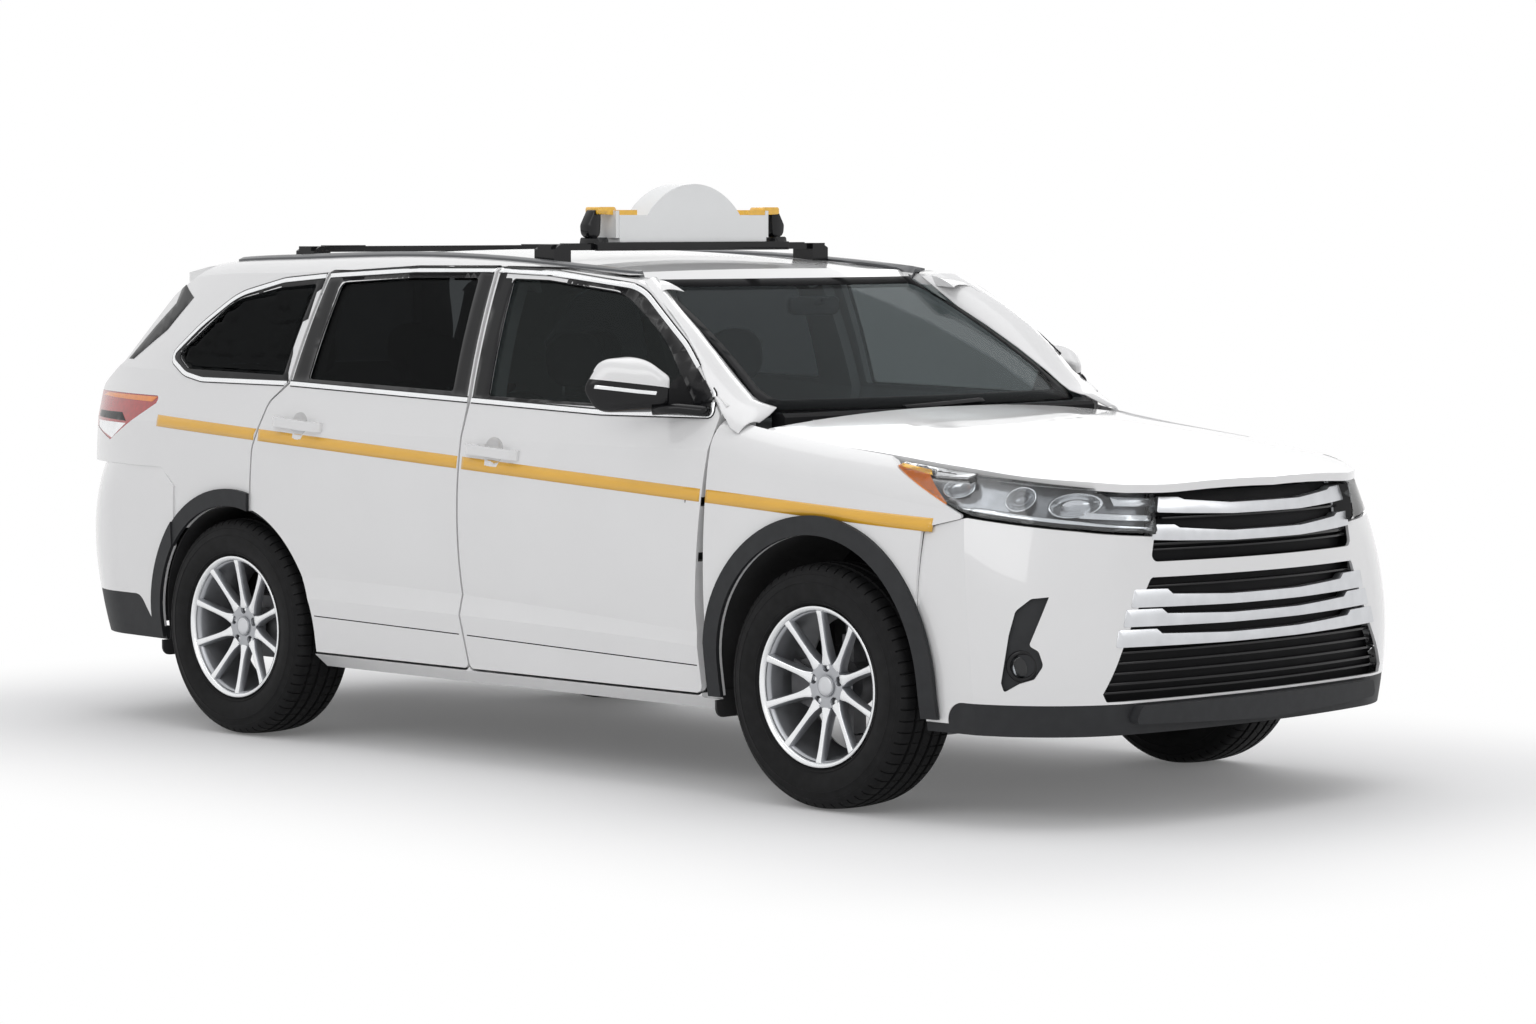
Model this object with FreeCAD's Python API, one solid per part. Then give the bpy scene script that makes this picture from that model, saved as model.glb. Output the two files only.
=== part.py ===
"""Seven-seat crossover taxi cab, full size, in millimetres.

The frame: X points forward, Y to the car's left, Z up, with the origin on the ground at half length and half width.
Every left-hand piece is modelled once and mirrored for the right. The side walls are one loft through a few
sections, cut into frames, doors and glass by side-view outlines, so that neighbours share one surface.
"""

import FreeCAD
import Part
import math
import os

V = FreeCAD.Vector

# ---------------------------------------------------------------- driving dimensions
WHEELBASE = 2790.0
FRONT_AXLE_X = 1460.0
REAR_AXLE_X = FRONT_AXLE_X - WHEELBASE
TYRE_R = 372.0
HALF_TRACK = {"front": 817.5, "rear": 823.0}
AXLE_Z = TYRE_R
STEER_AXIS_Y = 765.0          # upright steering axis, inside the rim
STEER_PIN_R = 11.0
RUN_FIT = 0.05                # radial clearance of every pin that turns

GAP = 8.0                     # shut lines round doors, hood and tailgate
FRAME_GAP = 14.0              # between window frames, which swing backwards as a door opens
SEAT = 0.3                    # clearance between pieces that only rest on each other
DOOR_T = 92.0                 # whole thickness of a door below the belt
DOOR_FRAME_T = 40.0           # and of its window frame
DOOR_RIM_W = 12.0             # a door's inner part stands this far in from its outline, up to the belt,
DOOR_RIM_Y = 893.0            # inside this half width
DOOR_RIM_TOP = 1120.0
POST_T = 45.0                 # pillars that stand behind the doors
POST_CLEAR = 12.0             # between a door's inside and the pillar behind it
SKIN_T = 10.0                 # fenders and bumper covers
GLASS_T = 5.0
GLASS_IN = 8.0                # glass lies this far inside the outer surface

SILL_UNDER_Z = 262.0
SILL_UNDER_IN = 52.0          # how much narrower the sill is down there
SILL_Z = 305.0
MID_Z = 800.0
SHOULDER_Z = 1060.0
WALL_TOP_Z = 1720.0

ARCH = {                      # wheel openings: half width and height of the round top
    "front": {"x": FRONT_AXLE_X, "r": 416.0, "z": 412.0},
    "rear": {"x": REAR_AXLE_X, "r": 412.0, "z": 376.0},
}
CLADDING_W = 58.0
CLADDING_T = 14.0

# Side wall sections: x, y of the sill, then y, z of the ledge and of the ramp's top above it, y of the middle and
# of the shoulder, then y, z of the belt, of the window head and of the roof edge
SIDE = [
    (-2290, 770, 790, 500, 795, 570, 801, 790, 742, 1252, 560, 1500, 450, 1560),
    (-2100, 858, 873, 500, 877, 570, 880, 868, 815, 1247, 640, 1520, 540, 1572),
    (-1850, 898, 917, 500, 921, 570, 925, 912, 868, 1240, 715, 1555, 610, 1600),
    (-1330, 910, 935, 497, 940, 570, 947, 932, 900, 1224, 757, 1580, 640, 1632),
    (-400, 914, 943, 490, 927, 560, 948, 930, 902, 1195, 765, 1600, 640, 1640),
    (500, 914, 943, 476, 925, 526, 947, 926, 898, 1167, 755, 1562, 635, 1582),
    (1060, 908, 930, 455, 935, 500, 943, 918, 868, 1165, 735, 1560, 620, 1585),
]
ROOF_CROWN = [1573, 1592, 1624, 1648, 1660, 1594, 1597]     # height at the middle, section by section

# Front fender sections: x, then y, z of the sill, middle, shoulder and hood edge
FENDER = [
    (990, 909, 305, 945, 700, 918, 1060, 846, 1160),
    (1460, 915, 305, 948, 680, 918, 985, 838, 1092),
    (1850, 905, 305, 935, 650, 892, 935, 812, 1050),
    (2120, 860, 305, 885, 640, 838, 900, 740, 1012),
]

# Front cover in plan: z, centre x, then x, y where the front arc ends, at the corner and where the flank starts,
# and y of the flank at its rear end
FRONT_PLAN = [
    (270, 2410, 2360, 560, 2255, 765, 2060, 880, 898),
    (480, 2420, 2365, 600, 2250, 800, 2060, 903, 932),
    (700, 2430, 2345, 590, 2228, 797, 2040, 903, 940),
    (900, 2430, 2352, 500, 2205, 735, 2000, 868, 910),
    (1050, 2400, 2330, 440, 2170, 690, 1960, 830, 880),
]
FRONT_FLANK_X = 1640.0

# Rear cover in plan, in the same columns
REAR_PLAN = [
    (300, -2380, -2340, 560, -2235, 780, -2010, 885, 915),
    (440, -2410, -2370, 590, -2262, 797, -2010, 905, 935),
    (560, -2435, -2395, 610, -2285, 800, -2010, 912, 940),
    (745, -2445, -2400, 610, -2290, 795, -2010, 915, 946),
    (905, -2400, -2350, 600, -2225, 800, -1990, 902, 938),
]
REAR_FLANK_X = -1640.0
FRAME_END_X = -1652.0         # where the rear cover takes over from the frame beside the wheel

# Tailgate in plan: z, centre x, then x, y of its outer edge
TAILGATE_PLAN = [
    (900, -2402, -2262, 780),
    (1140, -2405, -2288, 780),
    (1215, -2335, -2205, 750),
    (1400, -2190, -2060, 670),
    (1610, -2005, -1880, 560),
]
TAILGATE_T = 60.0


# ---------------------------------------------------------------- geometry helpers
def outline(points, place):
    """Closed wire through (u, v) or (u, v, radius) points; a radius rounds that corner with an arc."""
    n = len(points)
    ends = []
    for i, p in enumerate(points):
        u, v = p[0], p[1]
        radius = p[2] if len(p) > 2 else 0.0
        if radius <= 0:
            ends.append(((u, v), None, (u, v)))
            continue
        a, b = points[i - 1], points[(i + 1) % n]
        ax, ay = a[0] - u, a[1] - v
        bx, by = b[0] - u, b[1] - v
        la, lb = math.hypot(ax, ay), math.hypot(bx, by)
        ax, ay, bx, by = ax / la, ay / la, bx / lb, by / lb
        half = math.acos(max(-1.0, min(1.0, ax * bx + ay * by))) / 2
        cut = radius / math.tan(half)
        mx, my = ax + bx, ay + by
        lm = math.hypot(mx, my)
        reach = radius / math.sin(half) - radius
        ends.append(((u + ax * cut, v + ay * cut), (u + mx / lm * reach, v + my / lm * reach), (u + bx * cut, v + by * cut)))
    edges = []
    for i in range(n):
        start, middle, end = ends[i]
        if middle:
            edges.append(Part.Arc(place(*start), place(*middle), place(*end)).toShape())
        follow = ends[(i + 1) % n][0]
        if math.hypot(end[0] - follow[0], end[1] - follow[1]) > 1e-3:
            edges.append(Part.LineSegment(place(*end), place(*follow)).toShape())
    return Part.Wire(edges)


def side_place(u, v):
    return V(u, 0, v)


def plan_place(u, v):
    return V(u, v, 0)


def front_place(u, v):
    return V(0, u, v)


def nose_place(u, v):
    """The plane that the left front corner faces, with u measured to the left and backwards."""
    return V(-u * math.sqrt(0.5), u * math.sqrt(0.5), v)


def area(points, place, grow=0.0):
    """Flat face of an outline, grown or shrunk all round."""
    wire = outline(points, place)
    if grow:
        wire = wire.makeOffset2D(grow)
    return Part.Face(wire)


def side_area(points, grow=0.0):
    return area(points, side_place, grow)


def stretched(face, direction, start, end):
    """Solid of a flat face, or of several, moved and stretched along a unit direction from start to end."""
    moved = face.removeSplitter()
    moved.translate(direction * start)
    solids = [f.extrude(direction * (end - start)) for f in moved.Faces]
    return solids[0] if len(solids) == 1 else solids[0].fuse(solids[1:]).removeSplitter()


def across(face, y0=500.0, y1=1000.0):
    """Solid of a side-view face over the whole depth of the left side wall."""
    return stretched(face, V(0, 1, 0), y0, y1)


def box(x0, x1, y0, y1, z0, z1):
    return Part.makeBox(x1 - x0, y1 - y0, z1 - z0, V(x0, y0, z0))


def cylinder(x, y, z, radius, length, axis):
    return Part.makeCylinder(radius, length, V(x, y, z), axis)


def line(a, b):
    return Part.LineSegment(a, b).toShape()


def arc(a, b, c):
    return Part.Arc(a, b, c).toShape()


def mirrored(shape):
    return shape.mirror(V(0, 0, 0), V(0, 1, 0))


def both_sides(shape):
    return [shape, mirrored(shape)]


def save(name, *shapes):
    """Writes one node: its solids as a compound, or the solid itself."""
    solids = [s for shape in shapes for s in shape.Solids]
    body = solids[0] if len(solids) == 1 else Part.makeCompound(solids)
    body.exportStep(os.path.join("parts", name + ".step"))


# ---------------------------------------------------------------- lofted surfaces
def wall(outer_low, outer_up, inner_low, inner_up, roof_in=0.0):
    """Left side wall between two offsets from the outer surface, measured inwards below and above the belt.

    roof_in moves the edge beside the roof further inwards, for a wall that only cuts others.
    """
    wires = []
    for x, sill, ledge, ledge_z, ramp, ramp_z, mid, shoulder, belt, belt_z, head, head_z, edge, edge_z in SIDE:
        def skin(low, up):
            return {
                "under": V(x, sill - SILL_UNDER_IN - low, SILL_UNDER_Z),
                "sill": V(x, sill - low, SILL_Z),
                "ledge": V(x, ledge - low, ledge_z),
                "ramp": V(x, ramp - low, ramp_z),
                "mid": V(x, mid - low, MID_Z),
                "shoulder": V(x, shoulder - low, SHOULDER_Z),
                "belt": V(x, belt - up, belt_z),
                "pane": V(x, (belt + head) / 2 + 9 - up, (belt_z + head_z) / 2),
                "head": V(x, head - 0.9 * up, head_z - 0.45 * up),
                "bend": V(x, (head + edge) / 2 + 7 - 0.5 * up, (head_z + edge_z) / 2 + 13 - 0.9 * up),
                "edge": V(x, edge - 0.2 * up - roof_in, edge_z - up),
            }
        o, i = skin(outer_low, outer_up), skin(inner_low, inner_up)
        wires.append(Part.Wire([
            line(o["under"], o["sill"]),
            line(o["sill"], o["ledge"]),
            line(o["ledge"], o["ramp"]),
            arc(o["ramp"], o["mid"], o["shoulder"]),
            line(o["shoulder"], o["belt"]),
            arc(o["belt"], o["pane"], o["head"]),
            arc(o["head"], o["bend"], o["edge"]),
            line(o["edge"], i["edge"]),
            arc(i["edge"], i["bend"], i["head"]),
            arc(i["head"], i["pane"], i["belt"]),
            line(i["belt"], i["shoulder"]),
            arc(i["shoulder"], i["mid"], i["ramp"]),
            line(i["ramp"], i["ledge"]),
            line(i["ledge"], i["sill"]),
            line(i["sill"], i["under"]),
            line(i["under"], o["under"]),
        ]))
    return Part.makeLoft(wires, True, False)


def fender_wall(outer, inner):
    """Left front fender skin between two offsets from its outer surface."""
    wires = []
    for x, sill, sill_z, mid, mid_z, shoulder, shoulder_z, top, top_z in FENDER:
        def skin(d):
            return {
                "sill": V(x, sill - d, sill_z),
                "mid": V(x, mid - d, mid_z),
                "shoulder": V(x, shoulder - d, shoulder_z),
                "bend": V(x, (shoulder + top) / 2 + 14 - 0.8 * d, (shoulder_z + top_z) / 2 + 10 - 0.5 * d),
                "top": V(x, top - 0.3 * d, top_z - d),
            }
        o, i = skin(outer), skin(inner)
        wires.append(Part.Wire([
            arc(o["sill"], o["mid"], o["shoulder"]),
            arc(o["shoulder"], o["bend"], o["top"]),
            line(o["top"], i["top"]),
            arc(i["top"], i["bend"], i["shoulder"]),
            arc(i["shoulder"], i["mid"], i["sill"]),
            line(i["sill"], o["sill"]),
        ]))
    return Part.makeLoft(wires, True, False)


def cover(rows, flank_x, outer, inner):
    """Wrap-round bumper cover between two offsets from its outer surface, lofted upwards through plan sections."""
    sign = 1.0 if flank_x > 0 else -1.0
    wires = []
    for z, centre, arc_x, arc_y, corner_x, corner_y, start_x, start_y, flank_y in rows:
        def skin(d):
            return [
                V(flank_x, flank_y - d, z),
                V(start_x, start_y - d, z),
                V(corner_x - sign * 0.7 * d, corner_y - 0.7 * d, z),
                V(arc_x - sign * d, arc_y - 0.15 * d, z),
                V(centre - sign * d, 0, z),
            ]
        def path(p):
            q = [V(a.x, -a.y, a.z) for a in p]
            return [line(p[0], p[1]), arc(p[1], p[2], p[3]), arc(p[3], p[4], q[3]), arc(q[3], q[2], q[1]), line(q[1], q[0])]
        o, i = skin(outer), skin(inner)
        q_out, q_in = V(flank_x, -o[0].y, z), V(flank_x, -i[0].y, z)
        back = [e.reversed() if hasattr(e, "reversed") else e for e in path(i)][::-1]
        wires.append(Part.Wire(path(o) + [line(q_out, q_in)] + back + [line(i[0], o[0])]))
    return Part.makeLoft(wires, True, False)


def tailgate_wall(outer, inner):
    wires = []
    for z, centre, edge_x, edge_y in TAILGATE_PLAN:
        o = [V(edge_x + outer, edge_y, z), V(centre + outer, 0, z), V(edge_x + outer, -edge_y, z)]
        i = [V(edge_x + inner, -edge_y, z), V(centre + inner, 0, z), V(edge_x + inner, edge_y, z)]
        wires.append(Part.Wire([arc(*o), line(o[2], i[0]), arc(*i), line(i[2], o[0])]))
    return Part.makeLoft(wires, True, False)


# ---------------------------------------------------------------- side-view outlines (x, z, corner radius)
FRONT_DOOR = [
    (953, 314, 25), (951, 600), (966, 818), (992, 1168, 30), (800, 1385, 420), (530, 1572, 300), (120, 1604), (-147, 1607, 12),
    (-130, 1185), (-146, 1066, 60), (-146, 540, 300), (-122, 314, 20),
]
FRONT_WINDOW = [
    (905, 1178, 18), (690, 1400, 380), (465, 1535, 300), (100, 1572), (-68, 1575, 14), (-50, 1196, 10),
]
REAR_DOOR = [
    (-122 - GAP, 314, 20), (-146 - GAP, 540, 300), (-146 - GAP, 1066, 60), (-130 - FRAME_GAP, 1185),
    (-147 - FRAME_GAP, 1608, 12), (-560, 1605), (-1006, 1581, 20), (-1050, 1216), (-1150, 1145, 90),
    (-1216, 990, 120), (-1218, 830), (-1218, 314),
]
REAR_WINDOW = [
    (-222, 1207, 10), (-232, 1577, 14), (-560, 1574), (-930, 1553, 30), (-965, 1228, 10),
]
REAR_FRAME_SWING = [(-900, 1216), (-900, 1581), (-1006, 1581, 20), (-1050, 1216)]
QUARTER_WINDOW = [
    (-1095, 1237, 10), (-1055, 1549, 12), (-1240, 1535, 200), (-1480, 1487, 250), (-1728, 1292, 22), (-1640, 1246, 60),
]
FRAME_SIDE = [
    (1022, SILL_UNDER_Z - 10), (1022, 760), (1045, 900), (1045, 1160), (1040, 1180), (410, 1588), (400, WALL_TOP_Z),
    (-1722, WALL_TOP_Z), (-1722, 1600), (-1905, 1500, 60), (-2105, 1262, 80), (-2282, 1170, 40), (-2282, 905),
    (-1735, 905, 20), (-1652, 842), (-1652, 700), (-918, 700), (-918, SILL_UNDER_Z - 10),
]
FENDER_BED = [(950, 300), (950, 1130), (985, 1140), (1030, 1235), (1100, 1235), (1100, 300)]
# the same bed seen from ahead (y, z)
FENDER_BED_DEEP = [(1020, 200), (888, 200), (888, 1010), (824, 1130), (824, 1300), (1020, 1300)]
FENDER_PANEL = [
    (953 + GAP, 314, 10), (951 + GAP, 600), (966 + GAP, 818), (991 + GAP, 1150, 10), (1040, 1250), (1640, 1250), (1683, 1066, 10),
    (1950, 930, 60), (2008, 902, 8), (1868, 868), (1868, 700), (1868, 314), (1044, 314),
]
HEADLAMP = [
    (1690, 1060, 8), (2100, 1012), (2372, 972, 20), (2392, 848, 12), (2267, 872, 200), (2022, 906, 40), (1955, 932, 60),
]
TAIL_LAMP = [(-1785, 1150, 10), (-1800, 1124), (-2112, 985, 20), (-2320, 1040), (-2320, 1156)]
FRONT_COVER = [
    (1868 + SEAT, 300), (1868 + SEAT, 867), (2008, 901), (2022, 899, 10), (2267, 865, 200), (2392, 841), (2392, 985), (2600, 985), (2600, 365),
    (2300, 365), (1960, 365, 60), (1960, 300),
]
REAR_COVER = [
    (-1652 - SEAT, 841.6), (-1735 - SEAT, 905 - SEAT, 20), (-2600, 905 - SEAT), (-2600, 452), (-1880, 452, 60),
    (-1800, 346), (-1652 - SEAT, 346),
]

# Front-view outlines (y, z, corner radius)
TAILGATE = [(0, 906), (712, 906, 30), (735, 1130), (735, 1225, 60), (560, 1578, 30), (0, 1596)]
TAILGATE_WINDOW = [(0, 1232), (600, 1232, 50), (480, 1540, 60), (0, 1552)]
GRILLE_UPPER = [(0, 772), (470, 772, 20), (428, 972), (0, 972)]
GRILLE_LOWER = [(0, 372), (640, 372, 8), (652, 396), (470, 728, 20), (0, 728)]


# Fog lamp opening in the plane that the left front corner faces (u, z, corner radius), and the lamp in it
FOG_OPENING = [
    (-1042, 680), (-990, 675, 20), (-945, 640, 30), (-926, 570, 60), (-905, 430, 15), (-914, 402, 6), (-958, 429, 20), (-1000, 442, 12),
    (-1026, 482, 20), (-1012, 524, 20), (-984, 540, 10),
]
FOG_LAMP = {"u": -967.0, "z": 480.0, "r": 42.0, "front": 2134.0, "deep": 62.0}
NOSE_LOOK = V(math.sqrt(0.5), math.sqrt(0.5), 0)


# ---------------------------------------------------------------- areas of the outlines
def arch_area(arch, grow=0.0, bottom=100.0):
    """Wheel opening in side view: half round on straight legs."""
    x, r, z = arch["x"], arch["r"] + grow, arch["z"]
    return Part.Face(Part.Wire([
        line(V(x - r, 0, bottom), V(x - r, 0, z)),
        arc(V(x - r, 0, z), V(x, 0, z + r), V(x + r, 0, z)),
        line(V(x + r, 0, z), V(x + r, 0, bottom)),
        line(V(x + r, 0, bottom), V(x - r, 0, bottom)),
    ]))


def front_half(half, grow=0.0):
    """Front-view face of an outline given for its left half, from the middle line round and back."""
    other = [(-p[0],) + tuple(p[1:]) for p in half[::-1] if p[0]]
    return area(half + other, front_place, grow)


def lengthwise(face, x0, x1):
    return stretched(face, V(1, 0, 0), x0, x1)


def plan_half(half, grow=0.0):
    """Plan-view face of an outline given for its left half, from the middle line round and back."""
    other = [(p[0], -p[1]) + tuple(p[2:]) for p in half[::-1] if p[1]]
    return area(half + other, plan_place, grow)


def upright(face, z0, z1):
    return stretched(face, V(0, 0, 1), z0, z1)


# ---------------------------------------------------------------- layers of the side walls that several pieces share
POST_IN = DOOR_T + POST_CLEAR + POST_T
POST_IN_UP = DOOR_FRAME_T + POST_CLEAR + POST_T
LAYER = {
    "frame": wall(0, 0, POST_IN, POST_IN_UP),
    "door": wall(0, 0, DOOR_T, DOOR_FRAME_T),
    "glass": wall(GLASS_IN, GLASS_IN, GLASS_IN + GLASS_T, GLASS_IN + GLASS_T),
    "outside": wall(-60, -60, POST_IN + SEAT, POST_IN_UP + SEAT),
}


def between_sides(shape):
    """Trims a cross-car piece so that it ends just inside both side frames."""
    return shape.cut(LAYER["outside"]).cut(mirrored(LAYER["outside"]))


def biggest(shape):
    return max(shape.Solids, key=lambda s: s.Volume)


# ---------------------------------------------------------------- body sides and doors
HINGE_PIN_R = 4.0
HINGE_EAR_R = 7.0
HINGE_Z = [735.0, 905.0]
HINGE_TALL = 26.0
HINGE_ARM_W = 8.0
DOOR_HINGE_Y = 932.0
DOOR_HINGE_BACK = 45.0        # hinge line behind the door's leading edge
DOOR_HINGE_X = {"front": 951 - DOOR_HINGE_BACK, "rear": -146 - GAP - DOOR_HINGE_BACK}


POSTS = [
    [(985, 260), (985, 1108), (870, 1108), (870, 260)],
    [(-85, 260), (-70, 1185), (-105, 1640), (-225, 1640), (-225, 1185), (-235, 260)],
    [(-1000, 1150), (-1000, 1640), (-1080, 1640), (-1230, 1150), (-1230, 760), (-1130, 740)],
]


def side_frame():
    """Sill, pillars, roof side and rear quarter of the left side, one pressing that the doors close over."""
    wheel = arch_area(ARCH["rear"], SEAT)
    posts = arch_area(ARCH["rear"], 60, 260).common(side_area([(-1330, 240), (-1330, 900), (-700, 900), (-700, 240)]))
    posts = posts.fuse([side_area(post) for post in POSTS])
    doors = side_area(FRONT_DOOR, GAP).fuse([side_area(REAR_DOOR, GAP), side_area(REAR_FRAME_SWING, FRAME_GAP)])
    shape = side_area(FRAME_SIDE).fuse(posts).cut(doors.cut(posts))
    for opening in [side_area(QUARTER_WINDOW), side_area(TAIL_LAMP, SEAT), wheel]:
        shape = shape.cut(opening)
    frame = LAYER["frame"].common(across(shape))
    door_room = wall(-30, -30, DOOR_T + POST_CLEAR, DOOR_FRAME_T + POST_CLEAR, 60).common(across(doors))
    bed = lengthwise(area(FENDER_BED_DEEP, front_place), 900, 1200).common(across(side_area(FENDER_BED)))
    frame = frame.cut(door_room).cut(bed)
    return frame.cut(lengthwise(front_half(TAILGATE, GAP), -2600, -1700))


def hinge_pocket(x):
    """What a door leaves free for the pins and arms of its hinges: one solid for each hinge."""
    rooms = []
    for z in HINGE_Z:
        low, tall = z - HINGE_TALL / 2 - 1, HINGE_TALL + 2
        bore = cylinder(x, DOOR_HINGE_Y, z - HINGE_TALL - 6, HINGE_PIN_R + RUN_FIT, 2 * HINGE_TALL + 12, V(0, 0, 1))
        ear = cylinder(x, DOOR_HINGE_Y, low, HINGE_EAR_R + 1, tall, V(0, 0, 1))
        swing = box(x - HINGE_EAR_R - 1, x + 90, DOOR_HINGE_Y - 160, DOOR_HINGE_Y + HINGE_ARM_W / 2, low, low + tall)
        rooms.append(swing.fuse([ear, bore]))
    return rooms


def hinge(x, z):
    """Pin and arm of one door hinge, standing out from the pillar behind the door."""
    pin = cylinder(x, DOOR_HINGE_Y, z - HINGE_TALL, HINGE_PIN_R, 2 * HINGE_TALL, V(0, 0, 1))
    ear = cylinder(x, DOOR_HINGE_Y, z - HINGE_TALL / 2, HINGE_EAR_R, HINGE_TALL, V(0, 0, 1))
    reach = box(x - HINGE_ARM_W / 2, x + HINGE_ARM_W / 2, 790, DOOR_HINGE_Y, z - HINGE_TALL / 2, z + HINGE_TALL / 2)
    arm = reach.cut(wall(DOOR_T + POST_CLEAR - SEAT, DOOR_T + POST_CLEAR - SEAT, 250, 250))
    return pin.fuse([ear, biggest(arm)])


HANDLE = {"front": (13.0, 1022.0), "rear": (-976.0, 1078.0)}       # x, z of the middle
HANDLE_TILT = 3.4             # degrees, front end low
HANDLE_TALL = 32.0
HANDLE_HALF = 125.0
HANDLE_OUT = 960.0
CUP_R = 62.0
CUP_Y = 974.0


def handle(x, z):
    """Bar handle whose two ends are sunk in the door's skin."""
    plan = [
        (x - HANDLE_HALF, 915), (x - HANDLE_HALF, 944, 8), (x - 100, HANDLE_OUT, 20), (x + 100, HANDLE_OUT, 20), (x + HANDLE_HALF, 944, 8),
        (x + HANDLE_HALF, 915), (x + 88, 915), (x + 68, 947, 10), (x - 68, 947, 10), (x - 88, 915),
    ]
    grip = upright(area(plan, plan_place), z - HANDLE_TALL / 2, z + HANDLE_TALL / 2)
    grip.rotate(V(x, 0, z), V(0, 1, 0), HANDLE_TILT)
    return grip


# What is left off the inside of a door's leading edge so that it swings clear of its pillar (y, z, seen from ahead)
LEAD_ROOM = {
    "front": [(500, 200), (DOOR_RIM_Y, 200), (DOOR_RIM_Y, 1066), (850, 1100), (850, 1160), (500, 1160)],
    "rear": [(500, 200), (DOOR_RIM_Y, 200), (DOOR_RIM_Y, 1066), (881, 1120), (878, 1185), (796, 1420), (500, 1420)],
}
HINGE_LEAD = 33.0             # how far ahead of its hinge line the full thickness of a door reaches


def side_door(points, window, end, arch=None):
    """Door with its window cut through, its handle, and a rebate round the inner edge below the belt."""
    hinge_x = DOOR_HINGE_X[end]
    shape = side_area(points)
    below_belt = side_area([(-1400, 200), (-1400, DOOR_RIM_TOP), (1100, DOOR_RIM_TOP), (1100, 200)])
    rim = shape.cut(side_area(points, -DOOR_RIM_W)).common(below_belt)
    shape = shape.cut(side_area(window))
    if arch:
        shape = shape.cut(arch_area(arch, GAP))
        rim = rim.fuse(arch_area(arch, GAP + DOOR_RIM_W).common(shape))
    door = LAYER["door"].common(across(shape)).cut(across(rim, 500, DOOR_RIM_Y))
    for room in hinge_pocket(hinge_x):
        door = door.cut(room)
    door = door.cut(lengthwise(area(LEAD_ROOM[end], front_place), hinge_x + HINGE_LEAD, hinge_x + 140))
    x, z = HANDLE[end]
    return door.cut(Part.makeSphere(CUP_R, V(x, CUP_Y, z + 8))).fuse(handle(x, z))


def pane(window):
    """Glass that fills a window opening, a little inside the outer surface."""
    return LAYER["glass"].common(across(side_area(window, -SEAT)))


# ---------------------------------------------------------------- roof, hood, tailgate and windscreen
ROOF_T = 28.0
ROOF_X = (446.0, -1700.0)
HOOD_T = 24.0
# Hood sections: x, z at half width 860, z at the middle
HOOD = [(1080, 1140, 1190), (1460, 1086, 1152), (1850, 1042, 1108), (2150, 992, 1060), (2460, 930, 1003)]
# Hood outline in plan: x, y, corner radius
HOOD_PLAN = [
    (1190, 0), (1150, 829, 12), (1460, 831, 900), (1850, 803, 700), (2120, 731, 400), (2330, 545, 150), (2400, 424, 300), (2448, 0),
]
WINDSCREEN_T = 11.5           # measured level, through glass that leans back
# Windscreen sections: x, z at the middle, then x, z at half width 800
WINDSCREEN = [(1112, 1176, 1015, 1180), (800, 1388, 712, 1380), (446, 1574, 356, 1558)]
ROOF_LIP_T = 8.0              # the roof is thinner over its last stretch, where the tailgate swings under it
ROOF_LIP_X = -1636.0
ROOF_SEAT = 0.9               # play between the roof and the side frames
GATE_GAP = 12.0
SPOILER = {"front": ROOF_X[1] - GATE_GAP, "tip": -2147.0, "t": 34.0}
HINGE_W = 14.0                # of the arms of the hood's and the tailgate's hinges
GATE_HINGE = {"x": SPOILER["front"] - 40.0, "y": 450.0, "z": 1604.0}
HOOD_HINGE = {"x": 1146.0, "y": 620.0, "z": 1144.0}


def crowned(x, edge_y, edge_z, crown_z, depth, lean=0.2):
    """Section across the car: an arc over an arc, depth apart."""
    low = edge_y - lean * depth
    return Part.Wire([
        arc(V(x, edge_y, edge_z), V(x, 0, crown_z), V(x, -edge_y, edge_z)),
        line(V(x, -edge_y, edge_z), V(x, -low, edge_z - depth)),
        arc(V(x, -low, edge_z - depth), V(x, 0, crown_z - depth), V(x, low, edge_z - depth)),
        line(V(x, low, edge_z - depth), V(x, edge_y, edge_z)),
    ])


def roof_shell(depth, inset=SEAT):
    sections = [crowned(row[0], row[-2] - inset, row[-1], crown, depth) for row, crown in zip(SIDE, ROOF_CROWN)]
    return Part.makeLoft(sections, True, False)


def screen_sections(rows, near, far):
    """Windscreen sections between two level offsets behind its front surface."""
    wires = []
    for mid_x, mid_z, edge_x, edge_z in rows:
        o = [V(edge_x, 800, edge_z), V(mid_x, 0, mid_z), V(edge_x, -800, edge_z)]
        inwards = o[0] - o[1]
        inwards.y = 0
        inwards.normalize()
        front, back = [p + inwards * near for p in o], [p + inwards * far for p in o]
        wires.append(Part.Wire([arc(*front), line(front[2], back[2]), arc(back[2], back[1], back[0]), line(back[0], front[0])]))
    return wires


def screen_room():
    """What the roof leaves free for the windscreen and for what lies before it, also above its upper edge."""
    top, below = WINDSCREEN[-1], WINDSCREEN[-2]
    above = tuple(a + 0.35 * (a - b) for a, b in zip(top, below))
    low = Part.makeLoft(screen_sections(WINDSCREEN, -200, WINDSCREEN_T + SEAT), True, False)
    high = Part.makeLoft(screen_sections([top, above], -200, WINDSCREEN_T + SEAT), True, True)
    return low, high


def roof_panel():
    deep = roof_shell(ROOF_T, ROOF_SEAT).common(box(ROOF_LIP_X, ROOF_X[0], -800, 800, 1400, 1800))
    lip = roof_shell(ROOF_LIP_T, ROOF_SEAT).common(box(ROOF_X[1], ROOF_LIP_X + 1, -800, 800, 1400, 1800))
    low, high = screen_room()
    return deep.fuse(lip).cut(low).cut(high)


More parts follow.
